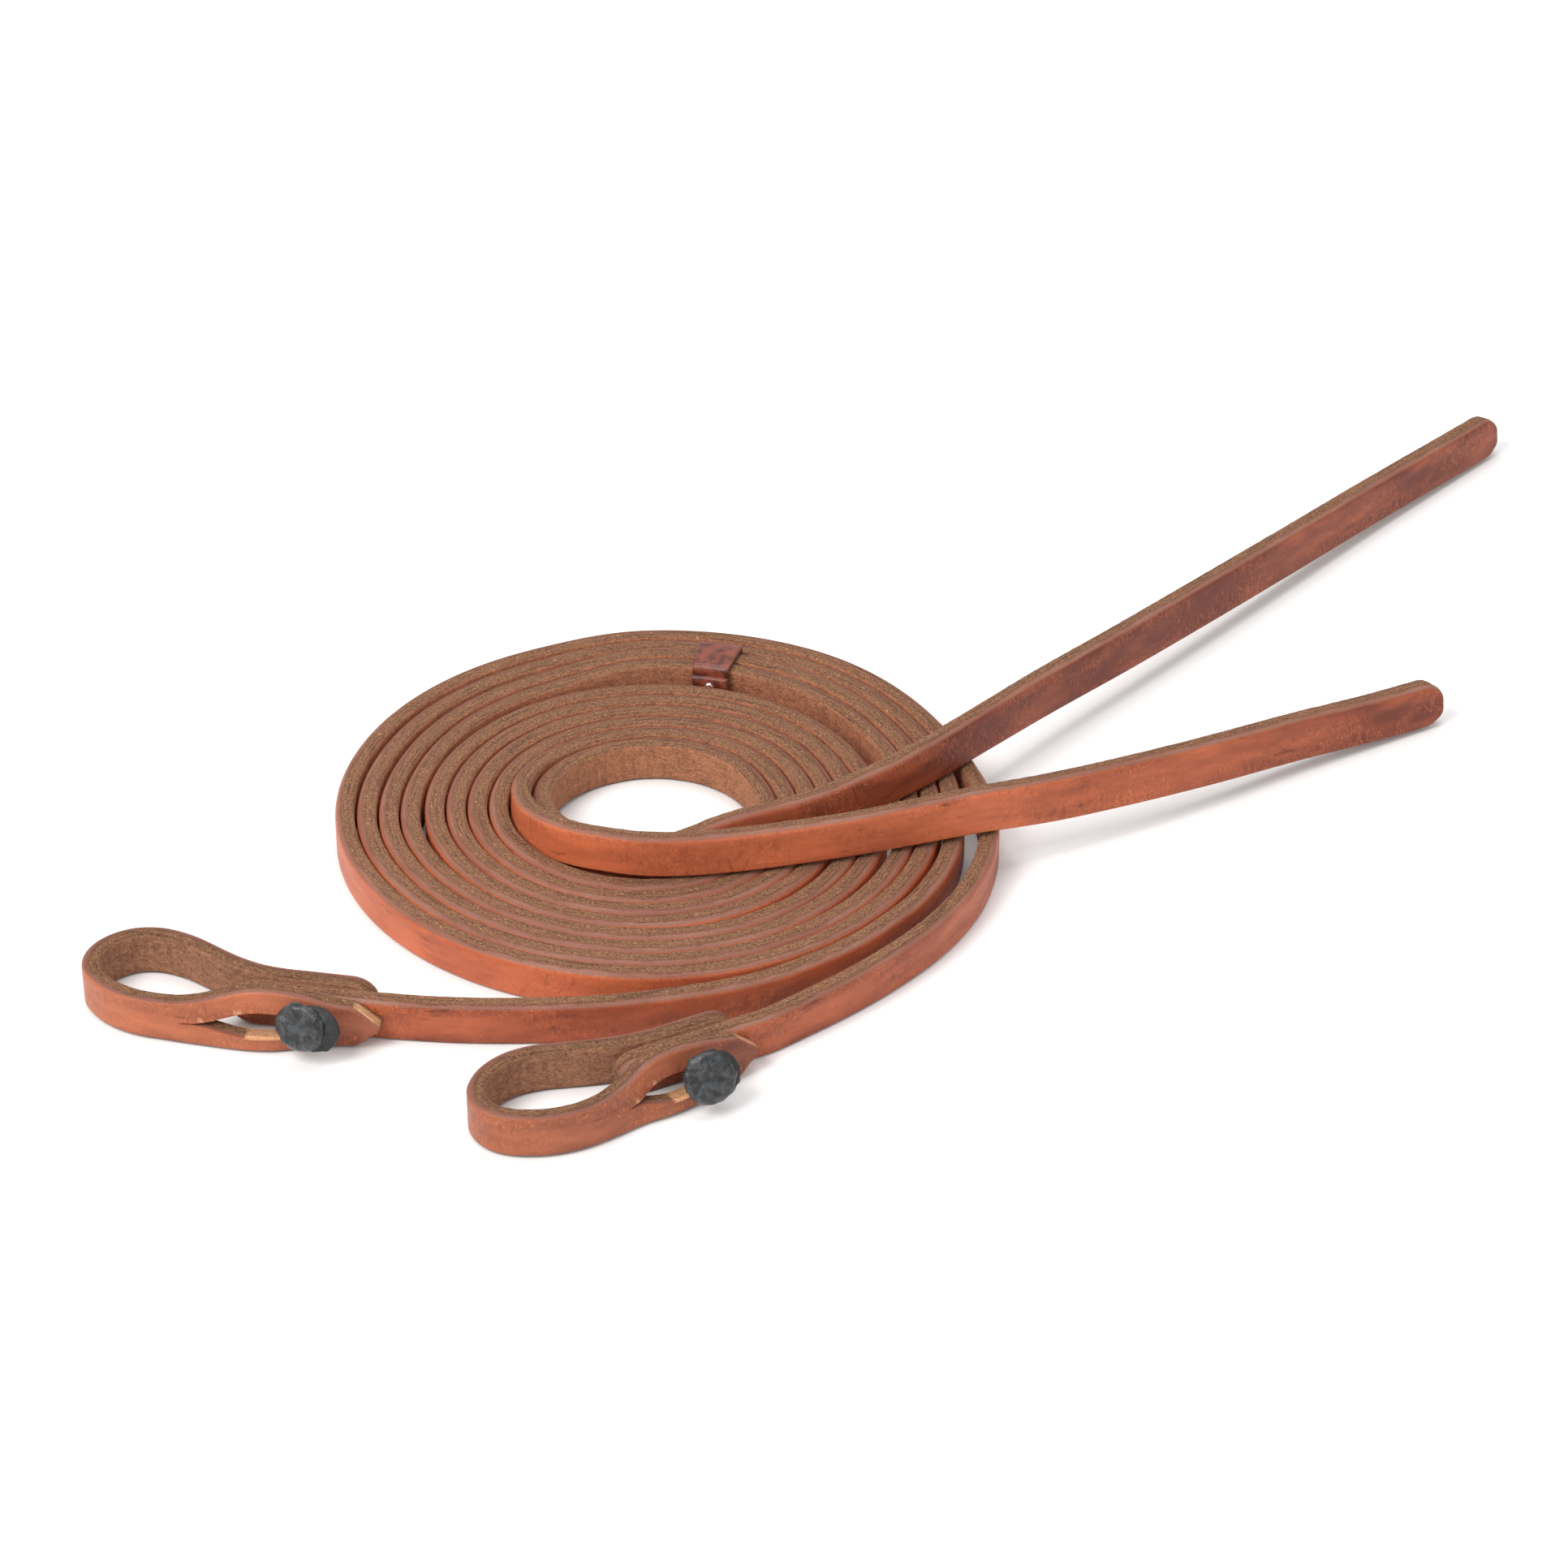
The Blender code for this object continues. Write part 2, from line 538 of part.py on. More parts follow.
def rivet_cap():
    """The rivet's domed cap, hollow where the post enters it."""
    seat = KEEPER_RADIUS - KEEPER_HALF - 2 * KEEPER_WALL - FIT / 2
    bore = RIVET_POST_RADIUS + FIT / 2
    profile = [(seat - 0.65, 0.0), (seat - 0.65, bore), (seat, bore), (seat, RIVET_HEAD_RADIUS)]
    for i in range(1, 5):
        turn = i * pi / 8
        profile.append((seat - 0.2 - (RIVET_HEAD_HEIGHT - 0.2) * sin(turn),
                        RIVET_HEAD_RADIUS * cos(turn)))
    profile[-1] = (profile[-1][0], 0.0)
    return turned_about_x(profile, RIVET_HEIGHT)


def material(name, colour, roughness, metallic=0.0):
    """A plain material."""
    made = bpy.data.materials.new(name)
    made.use_nodes = True
    shader = made.node_tree.nodes["Principled BSDF"]
    shader.inputs["Base Color"].default_value = (*colour, 1.0)
    shader.inputs["Roughness"].default_value = roughness
    shader.inputs["Metallic"].default_value = metallic
    return made


def main():
    """Build every piece of both reins."""
    for old in list(bpy.data.objects):
        bpy.data.objects.remove(old)

    harness = material("harness_leather", (0.42, 0.13, 0.055), 0.5)
    loop_leather = material("loop_leather", (0.45, 0.15, 0.07), 0.5)
    latigo = material("black_latigo", (0.02, 0.02, 0.022), 0.35)
    keeper_leather = material("keeper_leather", (0.19, 0.06, 0.04), 0.4)
    nickel = material("rivet_nickel", (0.75, 0.74, 0.72), 0.25, 1.0)

    layout = frame_at("reins_layout", *LAYOUT_SHIFT, 0.0, 0.0)
    for side in ("a", "b"):
        (x, y), heading = BIT_ENDS[side]
        bit_end = frame_at("bit_end_" + side, x, y, KNOT_HEIGHT, heading, layout)
        hole = place("shank_cutter_" + side, shank_cutter(), bit_end)
        strap = place("rein_" + side, rein(side), layout, harness, smooth=True)
        loop = place("bit_loop_" + side, bit_loop(side), bit_end, loop_leather, smooth=True)
        cut(strap, hole)
        cut(loop, hole)
        place("bleed_knot_" + side, bleed_knot(side), bit_end, latigo, smooth=True)

    keeper = frame_at("keeper", *KEEPER_PIVOT, 0.0, KEEPER_ANGLE, layout)
    band = place("keeper_band", keeper_band(), keeper, keeper_leather, smooth=True)
    cut(band, place("rivet_cutter", rivet_cutter(), keeper))
    place("keeper_rivet_post", rivet_post(), keeper, nickel, smooth=True)
    place("keeper_rivet_cap", rivet_cap(), keeper, nickel, smooth=True)


main()
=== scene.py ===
"""The looks of a pair of leather split reins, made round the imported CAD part.

The two reins and the two bit loops are swept again with rounded, slightly uneven edges. The knots
and the keeper band are modelled in more detail, and the rivet keeps its CAD shape. Lengths are in
millimetres, as in the part's own routes, and are turned into metres where a mesh is made.
"""

import json
from math import atan2, ceil, cos, hypot, pi, radians, sin, sqrt

import bmesh
import bpy
import numpy as np
from mathutils import Matrix, Vector, noise
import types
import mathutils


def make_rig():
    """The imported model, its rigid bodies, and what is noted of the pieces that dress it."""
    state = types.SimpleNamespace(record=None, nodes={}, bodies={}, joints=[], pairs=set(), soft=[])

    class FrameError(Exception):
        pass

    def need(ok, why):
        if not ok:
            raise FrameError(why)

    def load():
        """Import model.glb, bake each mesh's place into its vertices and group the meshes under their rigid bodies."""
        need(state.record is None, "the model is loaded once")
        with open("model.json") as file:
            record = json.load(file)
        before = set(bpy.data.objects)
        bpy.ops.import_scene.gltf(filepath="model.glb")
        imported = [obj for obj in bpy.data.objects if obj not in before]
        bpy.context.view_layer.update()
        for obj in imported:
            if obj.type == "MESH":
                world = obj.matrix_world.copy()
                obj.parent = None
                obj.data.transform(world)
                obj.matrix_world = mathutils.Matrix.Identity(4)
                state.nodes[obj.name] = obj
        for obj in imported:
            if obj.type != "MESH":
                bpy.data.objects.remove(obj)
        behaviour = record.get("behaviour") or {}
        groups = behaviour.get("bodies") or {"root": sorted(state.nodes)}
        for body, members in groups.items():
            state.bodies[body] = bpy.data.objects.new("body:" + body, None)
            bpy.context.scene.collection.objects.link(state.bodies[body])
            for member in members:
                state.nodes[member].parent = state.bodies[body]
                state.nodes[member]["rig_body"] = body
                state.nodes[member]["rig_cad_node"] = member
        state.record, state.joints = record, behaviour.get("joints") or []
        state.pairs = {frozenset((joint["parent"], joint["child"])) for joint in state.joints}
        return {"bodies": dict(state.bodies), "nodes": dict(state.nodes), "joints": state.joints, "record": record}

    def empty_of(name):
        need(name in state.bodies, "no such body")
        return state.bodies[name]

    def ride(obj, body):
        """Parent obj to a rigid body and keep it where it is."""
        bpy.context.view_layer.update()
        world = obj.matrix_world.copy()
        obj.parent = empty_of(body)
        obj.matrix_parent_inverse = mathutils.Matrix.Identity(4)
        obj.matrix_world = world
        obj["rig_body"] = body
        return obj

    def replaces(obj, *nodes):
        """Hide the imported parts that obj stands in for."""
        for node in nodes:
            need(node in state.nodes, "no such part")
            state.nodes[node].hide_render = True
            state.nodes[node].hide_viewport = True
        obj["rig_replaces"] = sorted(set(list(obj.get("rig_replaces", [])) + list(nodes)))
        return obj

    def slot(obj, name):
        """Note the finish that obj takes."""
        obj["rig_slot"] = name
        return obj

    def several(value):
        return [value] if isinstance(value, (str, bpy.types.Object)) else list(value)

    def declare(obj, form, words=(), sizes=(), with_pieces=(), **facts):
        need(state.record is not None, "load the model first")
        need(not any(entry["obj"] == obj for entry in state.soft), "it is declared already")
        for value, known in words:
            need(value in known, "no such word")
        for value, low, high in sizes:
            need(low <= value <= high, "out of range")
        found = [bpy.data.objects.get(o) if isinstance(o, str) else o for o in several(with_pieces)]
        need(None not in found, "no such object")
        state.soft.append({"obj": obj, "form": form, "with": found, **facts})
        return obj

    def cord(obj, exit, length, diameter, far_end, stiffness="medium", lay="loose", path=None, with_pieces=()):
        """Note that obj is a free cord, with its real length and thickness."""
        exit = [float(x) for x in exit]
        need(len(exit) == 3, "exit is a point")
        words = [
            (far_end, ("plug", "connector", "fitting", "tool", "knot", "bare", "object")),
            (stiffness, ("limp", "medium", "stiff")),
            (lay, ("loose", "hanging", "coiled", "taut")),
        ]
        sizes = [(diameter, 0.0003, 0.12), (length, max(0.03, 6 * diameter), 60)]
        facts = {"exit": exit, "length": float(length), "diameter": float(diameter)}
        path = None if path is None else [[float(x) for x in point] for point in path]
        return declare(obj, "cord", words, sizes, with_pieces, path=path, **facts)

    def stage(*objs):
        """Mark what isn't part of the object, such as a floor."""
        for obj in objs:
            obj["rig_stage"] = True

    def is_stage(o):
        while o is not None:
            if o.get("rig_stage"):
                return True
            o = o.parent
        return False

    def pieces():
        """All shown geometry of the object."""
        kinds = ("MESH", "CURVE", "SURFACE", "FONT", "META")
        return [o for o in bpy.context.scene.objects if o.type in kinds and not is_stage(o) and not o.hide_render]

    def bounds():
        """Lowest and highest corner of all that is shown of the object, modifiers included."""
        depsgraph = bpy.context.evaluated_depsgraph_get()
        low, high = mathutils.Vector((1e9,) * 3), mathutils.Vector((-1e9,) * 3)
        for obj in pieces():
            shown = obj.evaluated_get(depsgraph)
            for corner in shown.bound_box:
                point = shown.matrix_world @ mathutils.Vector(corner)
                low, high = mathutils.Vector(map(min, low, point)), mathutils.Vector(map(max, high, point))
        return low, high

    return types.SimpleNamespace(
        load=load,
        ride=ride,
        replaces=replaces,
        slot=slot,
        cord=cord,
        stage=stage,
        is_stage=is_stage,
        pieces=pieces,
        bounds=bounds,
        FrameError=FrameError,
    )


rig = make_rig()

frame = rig.load()
cad_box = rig.bounds()

MM = 0.001
LAYOUT_SHIFT = (-60.89, -36.42)

# Rein straps
STRAP_WIDTH = 11.6
STRAP_THICKNESS = 5.5
TAIL_WIDENING = 1.6
TAIL_THICKENING = 0.7
STRAP_GAP = 0.45
LENGTH_STEP = 6.0
ROUND_END = 6.5
FLAT_END = 0.45

# Coil
COIL_CENTRE = (2.0, 0.0)
COIL_OUTER_RADIUS = 90.0
COIL_STRETCH = 1.02
COIL_START = 25.0
COIL_END = 4 * 360.0 + 270.0
ANGLE_STEP = 5.0
STEP_BEGINS = 243.0
LOOSE_RANGE = (88.0, 125.0, 158.0, 200.0)  # where the outer straps' shift rises and falls
LOOSE_SHIFT = (0.8, 1.5, 2.2, 2.35)        # the shift inwards, outermost strap first
INNER_DROP = 2.8
INNER_SHIFT = (-1.2, -2.65)
RISE_BEGINS = 4 * 360.0 + 112.0
RISE_ENDS = 4 * 360.0 + 272.0
SEAT_BEGINS = 4 * 360.0 + 246.0  # where the risen ends start to spread over the coil
SEAT_ENDS = 4 * 360.0 + 278.0
SEAT_SHIFT = 1.7              # how far they are shifted outwards there
GROWTH_BEGINS = 60.0          # the tails grow from here, along X
GROWTH_LENGTH = 105.0
FRONT_LEAN = 6.0

# Keeper band
KEEPER_ANGLE = 77.5
KEEPER_WIDTH = 12.0
KEEPER_WALL = 1.5
KEEPER_CLEARANCE = 0.35
KEEPER_HALF = STRAP_THICKNESS + STRAP_GAP / 2 + KEEPER_CLEARANCE
KEEPER_PIVOT = (2.0, -2.7)
KEEPER_RADIUS = 75.1
KEEPER_TURN = 1
LIFT = 1.9
ROOM_FULL = 16.0
ROOM_ENDS = (52.0, 38.0)
RIVET_HEIGHT = 9.2
FIT = 0.3

# Bit loops
LOOP_WIDTH = 12.4
LOOP_THICKNESS = 4.8
FLAP = STRAP_THICKNESS / 2 + FIT + LOOP_THICKNESS / 2
ARROW_END = 6.5
SLIT_BEGINS = 3.4
SLIT_ENDS = {"a": -31.0, "b": -25.0}
SLIT_OPEN_UP = 2.5
SLIT_OPEN_DOWN = 2.0
SLIT_TURN_OUT = 1.1
REIN_END_REACH = {"a": 19.5, "b": 21.0}
STRAIGHT_REACH = 24.0
KNOT_HEIGHT = 6.2
KNOT_SHANK_RADIUS = 1.7
KNOT_HEAD_PITCH = 20.0
KNOT_SIDES = 56
BIT_ENDS = {"a": ((-90.3, -95.5), -10.5), "b": ((13.0, -117.6), 28.0)}
KNOT_HEADS = {"a": ((4.6, 12.9, 3.4), -15.0, 3.4, (1.15, 1.03)),
              "b": ((-1.1, 14.1, 3.0), -20.0, 1.4, (1.1, 1.14))}
FLAP_TIP = {"a": 22.6, "b": 17.4}
NEAR_FLAP = [
    (13.0, FLAP, 6.0, 0.0), (8.5, FLAP, 7.3, 0.4),
    (4.4, FLAP, 8.8, 1.2), (0.0, 5.6, 10.1, 2.1), (-5.0, 5.6, 11.8, 2.6),
    (-9.5, 5.8, 12.6, 2.6), (-14.0, 6.4, 12.9, 2.2), (-18.0, 7.6, 12.9, 1.6),
]
BENDS = {
    "a": [(-22.0, 9.0, 12.8), (-26.0, 10.4, 12.6), (-31.0, 11.5, 12.3), (-36.0, 11.9, 11.9),
          (-41.0, 11.6, 11.6), (-46.0, 10.5, 10.5), (-51.0, 8.4, 8.4), (-55.5, 5.1, 5.1),
          (-58.8, 1.0, 1.0), (-60.0, -4.0, -4.0), (-59.0, -9.0, -9.0), (-56.0, -13.4, -13.4),
          (-51.5, -16.6, -16.6), (-46.0, -17.8, -17.8), (-41.0, -17.3, -17.3),
          (-35.5, -15.6, -15.6), (-30.5, -13.2, -13.2), (-25.0, -10.4, -10.4),
          (-19.6, -8.0, -8.0), (-13.5, -6.2, -6.2)],
    "b": [(-22.0, 9.8, 13.2), (-26.0, 11.8, 13.8), (-31.0, 13.6, 14.4), (-36.0, 14.6, 14.8),
          (-41.0, 14.6, 14.6), (-46.0, 13.6, 13.6), (-51.0, 11.6, 11.6), (-55.5, 8.8, 8.8),
          (-58.7, 5.0, 5.0), (-60.0, 0.0, 0.0), (-59.0, -5.0, -5.0), (-55.5, -9.3, -9.3),
          (-51.0, -12.2, -12.2), (-46.0, -13.7, -13.7), (-41.0, -13.8, -13.8),
          (-36.0, -12.9, -12.9), (-30.0, -10.9, -10.9), (-24.0, -8.8, -8.8),
          (-18.0, -7.1, -7.1), (-12.0, -6.0, -6.0)],
}
FAR_FLAP = [(-7.0, -FLAP, -FLAP), (0.0, -FLAP, -FLAP), (8.0, -FLAP, -FLAP)]
FAR_END = {"a": 18.5, "b": 15.5}

# Leads and tails
LEADS = {
    "a": [(-49.4, -101.6), (-32.1, -101.9), (-15.0, -101.0), (0.0, -98.9), (16.0, -95.2),
          (29.5, -90.9), (38.6, -86.2), (47.6, -80.4), (57.0, -73.2), (66.2, -63.6),
          (75.6, -51.3), (82.4, -37.0), (86.2, -22.0), (87.0, -6.0), (85.0, 11.0),
          (81.8, 23.5)],
    "b": [(44.2, -98.6), (55.0, -89.6), (66.1, -79.0), (77.3, -66.2), (85.6, -53.6),
          (91.7, -40.5), (95.6, -25.5), (96.8, -11.5), (95.0, 3.5), (91.2, 16.5),
          (87.2, 28.0)],
}
TAILS = {
    "a": [(5.6, -34.9, 6.6, 6.5), (13.2, -33.6, 8.9, 7.5), (19.5, -32.0, 10.7, 8.0),
          (30.6, -27.9, 12.0, 9.0), (40.0, -23.9, 12.0, 9.5), (48.9, -18.9, 12.0, 9.0),
          (63.6, -7.8, 12.0, 8.0), (77.4, 4.2, 12.0, 6.5), (92.7, 20.0, 11.9, 6.0),
          (116.3, 47.9, 9.6, 7.0), (142.1, 76.7, 7.5, 9.0), (168.9, 107.3, 5.7, 9.5),
          (196.7, 139.7, 3.8, 9.0), (225.5, 173.5, 2.0, 8.0), (256.8, 208.6, 0.6, 7.0),
          (271.0, 224.2, 0.2, 7.0)],
    "b": [(6.0, -41.2, 12.0, 6.5), (14.5, -40.7, 12.0, 7.0), (23.3, -39.4, 12.0, 7.5),
          (34.0, -37.3, 12.0, 8.0), (45.6, -34.5, 12.0, 8.5), (59.1, -30.9, 12.0, 9.0),
          (72.8, -26.6, 12.0, 9.5), (92.2, -20.3, 12.0, 10.0), (114.2, -10.7, 9.7, 10.0),
          (137.8, 1.2, 7.9, 10.0), (162.1, 15.1, 5.9, 9.0), (187.0, 30.9, 3.5, 8.0),
          (212.9, 46.3, 1.1, 7.0), (233.3, 58.2, 0.1, 7.0)],
}
REIN_LAG = {"a": 1, "b": 0}
REIN_RISE = {"a": 5.2, "b": 12.0}

# Finish
FINE_STEP = 2.2               # spacing of cross-sections in the swept straps
GRAIN_EDGE = 1.9              # the edge tool's radius along the grain side
UNDER_EDGE = 0.5              # the same edge along the side the strap lies on
FLESH_EDGE = 0.8
END_BEVEL = 0.7               # how far a strap's ends are rounded off
EDGE_ROUGHNESS = 0.14         # height of the uneven fibres along a cut edge
THICKNESS_WOBBLE = 0.07       # how much a strap's thickness wanders
STRAP_GRAIN = (0.45, 0.8, 0.8)  # how fine the unevenness is along, across and up a rein
LOOP_ROUGHNESS = 0.09
LOOP_RIM = 3.4                # the loops' unevenness reaches this far from the rim
GRAIN_RIM = 1.1               # the edge tool's radius on the loops
MIDDLE_TOLERANCE = 0.01
ARROW_RIM = 1.5               # the arrow cut bares fresh leather this far from the rim
HAMMER_DEPTH = 0.85
HAMMER_NOISE = 0.2

LOOP_TONE = {"a": 0.32, "b": 0.5}  # how dark the loops' grain side is, from 0 to 1

# How dark the grain side is: (share of the strap's length, darkness from 0 to 1)
TONES = {
    "a": [(0.0, 0.6), (0.06, 0.55), (0.1, 0.6), (0.14, 0.4), (0.25, 0.25), (0.8, 0.35),
          (0.845, 0.5), (0.88, 0.85), (0.92, 1.0), (0.96, 0.8), (1.0, 0.9)],
    "b": [(0.0, 0.6), (0.05, 0.55), (0.09, 0.5), (0.16, 0.28), (0.3, 0.2), (0.82, 0.1),
          (0.87, 0.2), (0.91, 0.4), (0.94, 0.35), (0.97, 0.65), (1.0, 0.85)],
}

# Stage: lengths here are in metres
CAMERA_PLACE = (-0.02239, -1.10387, 0.70806)
CAMERA_TILT = 57.0
CAMERA_LENS = 102.48
CAMERA_SENSOR = 36.0
FLOOR_REACH = 8.0
FLOOR_DROP = -0.0004
WORLD_STRENGTH = 0.7

# Area lights: name, place, the point it looks at, size, power and tint
LIGHTS = [
    ("key", (-0.75, -0.65, 1.05), (-0.02, -0.04, 0.0), 0.7, 13.0, (1.0, 0.985, 0.965)),
    ("fill", (0.9, -0.9, 0.7), (0.0, -0.03, 0.0), 0.9, 2.0, (1.0, 1.0, 1.0)),
    ("top", (0.0, 0.35, 1.5), (0.0, 0.0, 0.0), 1.0, 8.0, (1.0, 1.0, 1.0)),
]


def smoothstep(value):
    """0 below 0, 1 above 1, and a smooth rise between."""
    value = min(max(value, 0.0), 1.0)
    return value * value * (3.0 - 2.0 * value)


def keeper_room(angle):
    """How far the straps make room for the keeper at this angle, from 0 to 1."""
    away = (angle - KEEPER_ANGLE + 180.0) % 360.0 - 180.0
    ends = ROOM_ENDS[away > 0]
    return smoothstep((ends - abs(away)) / (ends - ROOM_FULL))


def looseness(angle):
    """How far the outer straps are shifted inwards at this angle, from 0 to 1."""
    rise, full, fall, end = LOOSE_RANGE
    angle %= 360.0
    return smoothstep((angle - rise) / (full - rise)) * smoothstep((end - angle) / (end - fall))


def coil_point(angle, lag, rise):
    """A strap in the coil: x, y, height of its lower edge, lean and growth, at an angle."""
    turn = int((angle - COIL_START) // 360.0)
    within = (angle - COIL_START) % 360.0
    step = smoothstep((within - STEP_BEGINS) / (360.0 - STEP_BEGINS))
    pitch = STRAP_THICKNESS + STRAP_GAP
    inner = 0.0 if turn < 1 else step if turn == 1 else 1.0
    radius = COIL_OUTER_RADIUS - STRAP_THICKNESS / 2 - lag * pitch
    radius -= 2 * pitch * (turn + step) + INNER_DROP * inner
    if turn < 2:
        radius -= LOOSE_SHIFT[2 * turn + lag] * looseness(angle)
    height = 0.0
    if turn == 0:
        radius += LIFT * keeper_room(angle)
    if turn == KEEPER_TURN:
        height = LIFT * keeper_room(angle)
    climb = smoothstep((angle - RISE_BEGINS) / (RISE_ENDS - RISE_BEGINS))
    radius += SEAT_SHIFT * smoothstep((angle - SEAT_BEGINS) / (SEAT_ENDS - SEAT_BEGINS))
    x = COIL_CENTRE[0] + INNER_SHIFT[0] * inner + COIL_STRETCH * radius * cos(radians(angle))
    y = COIL_CENTRE[1] + INNER_SHIFT[1] * inner + radius * sin(radians(angle))
    return (x, y, height + rise * climb, FRONT_LEAN * climb, 0.0)


def curve_through(points, spacing):
    """A smooth curve through the points, cut into even lengths of about the spacing."""
    samples = [tuple(points[0])]
    for index in range(len(points) - 1):
        before = points[max(index - 1, 0)]
        start = points[index]
        end = points[index + 1]
        after = points[min(index + 2, len(points) - 1)]
        pieces = max(1, ceil(hypot(end[0] - start[0], end[1] - start[1]) / spacing))
        for piece in range(1, pieces + 1):
            t = piece / pieces
            samples.append(tuple(
                0.5 * (2 * q + (r - p) * t + (2 * p - 5 * q + 4 * r - s) * t * t
                       + (3 * q - p - 3 * r + s) * t ** 3)
                for p, q, r, s in zip(before, start, end, after)))
    return samples


def in_layout(side, along, out):
    """Layout coordinates of a point given along and out from a bit end's knot."""
    (x, y), heading = BIT_ENDS[side]
    turn = radians(heading)
    return (x + along * cos(turn) + out * sin(turn), y + along * sin(turn) - out * cos(turn))


def rein_route(side):
    """The whole rein from its end inside the bit loop to its tip.

    Each point is (x, y, height, lean, growth). Growth first widens the strap, up to a half, and
    then thickens it, up to 1.
    """
    straight = [in_layout(side, reach, 0.0)
                for reach in (-REIN_END_REACH[side], -8.0, 0.0, 8.0, 16.0, STRAIGHT_REACH)]
    turns = int(round((COIL_END - COIL_START) / ANGLE_STEP))
    coil = [coil_point(COIL_START + ANGLE_STEP * i, REIN_LAG[side], REIN_RISE[side])
            for i in range(turns + 1)]
    lead = [(x, y, 0.0, 0.0, 0.0) for x, y in straight + LEADS[side]]
    tail = [point + (min(max((point[0] - GROWTH_BEGINS) / GROWTH_LENGTH, 0.0), 1.0),)
            for point in TAILS[side]]
    front = curve_through(lead + coil[:1], LENGTH_STEP)
    back = curve_through([coil[-1]] + tail, LENGTH_STEP)
    return front[:-1] + coil + back[1:]


def strap_size(growth):
    """A rein's width and thickness where it has grown by this much."""
    return (STRAP_WIDTH + TAIL_WIDENING * min(1.0, 2 * growth),
            STRAP_THICKNESS + TAIL_THICKENING * max(0.0, 2 * growth - 1.0))


def rounded_ends(distance, length):
    """Half-height of a strap with two rounded ends, as a fraction of its full half-height."""
    from_end = min(distance, length - distance, ROUND_END)
    inset = (ROUND_END - from_end) * (1 - FLAT_END / ROUND_END)
    return sqrt(1.0 - (inset / ROUND_END) ** 2)


def loop_ends(distance, length):
    """Half-height of a loop strap: arrow-cut at its start and rounded at its end."""
    arrow = 0.12 + 0.88 * distance / ARROW_END
    return min(arrow, rounded_ends(max(distance, ROUND_END), length), 1.0)


def with_end_points(route, fractions=(0.03, 0.07, 0.13, 0.22, 0.34, 0.5, 0.7, 0.85)):
    """The route with extra points near both ends, where the outline is rounded."""
    route = list(route)
    for end, inner in ((0, 1), (-1, -2)):
        first = route[end]
        second = route[inner]
        extra = [tuple(p + (q - p) * f for p, q in zip(first, second)) for f in fractions]
        if end == 0:
            route[1:1] = extra
        else:
            route[-1:-1] = reversed(extra)
    return route


def distances_along(route):
    """The distance of each point of a route from its start."""
    distances = [0.0]
    for p, q in zip(route, route[1:]):
        distances.append(distances[-1] + hypot(q[0] - p[0], q[1] - p[1]))
    return distances


def heading_at(route, i):
    """The direction of a route at one of its points."""
    before = route[max(i - 1, 0)]
    after = route[min(i + 1, len(route) - 1)]
    return atan2(after[1] - before[1], after[0] - before[0])


def between(table, value):
    """A value read from a table of (place, value) with straight lines between its rows."""
    places, values = zip(*table)
    return float(np.interp(value, places, values))


def frame_matrix(x, y, z, heading):
    """A frame of the layout, as a matrix that takes millimetres in it to metres in the row."""
    shifted = Matrix.Translation(Vector((x + LAYOUT_SHIFT[0], y + LAYOUT_SHIFT[1], z)))
    return Matrix.Scale(MM, 4) @ shifted @ Matrix.Rotation(radians(heading), 4, "Z")


def make_piece(name, verts, faces, matrix, marks, material, sharp=None):
    """A smooth mesh object from points in a frame, with one named value or vector per point."""
    mesh = bpy.data.meshes.new(name)
    mesh.from_pydata([tuple(matrix @ Vector(v)) for v in verts], [], faces)
    for mark, values in marks.items():
        vector = len(np.shape(values)) == 2
        attribute = mesh.attributes.new(mark, "FLOAT_VECTOR" if vector else "FLOAT", "POINT")
        attribute.data.foreach_set("vector" if vector else "value",
                                   np.asarray(values, np.float32).ravel())
    bm = bmesh.new()
    bm.from_mesh(mesh)
    bmesh.ops.recalc_face_normals(bm, faces=bm.faces)
    bm.to_mesh(mesh)
    bm.free()
    mesh.shade_smooth()
    if sharp:
        mesh.set_sharp_from_angle(angle=radians(sharp))
    piece = bpy.data.objects.new(name, mesh)
    mesh.materials.append(material)
    bpy.context.collection.objects.link(piece)
    return piece


def strap_section(half_depth, half_height):
    """Points round a strap, as (across towards the grain side, up)."""
    grain = min(GRAIN_EDGE, half_depth * 0.9, half_height * 0.9)
    flesh = min(FLESH_EDGE, half_depth * 0.9, half_height * 0.9)
    under = min(UNDER_EDGE, grain)
    corners = [(1, -1, under, 3, 5), (1, 1, grain, 5, 4), (-1, 1, flesh, 2, 3),
               (-1, -1, flesh, 2, 3)]
    points = []
    for index, (across, up, radius, steps, following) in enumerate(corners):
        centre = (across * (half_depth - radius), up * (half_height - radius))
        for k in range(steps + 1):
            turn = radians(-90 + 90 * index + 90 * k / steps)
            points.append((centre[0] + radius * cos(turn), centre[1] + radius * sin(turn)))
        next_across, next_up, next_radius = corners[(index + 1) % 4][:3]
        turn = radians(90 * index)
        goal = (next_across * (half_depth - next_radius) + next_radius * cos(turn),
                next_up * (half_height - next_radius) + next_radius * sin(turn))
        last = points[-1]
        points += [tuple(p + (q - p) * k / following for p, q in zip(last, goal))
                   for k in range(1, following)]
    return points


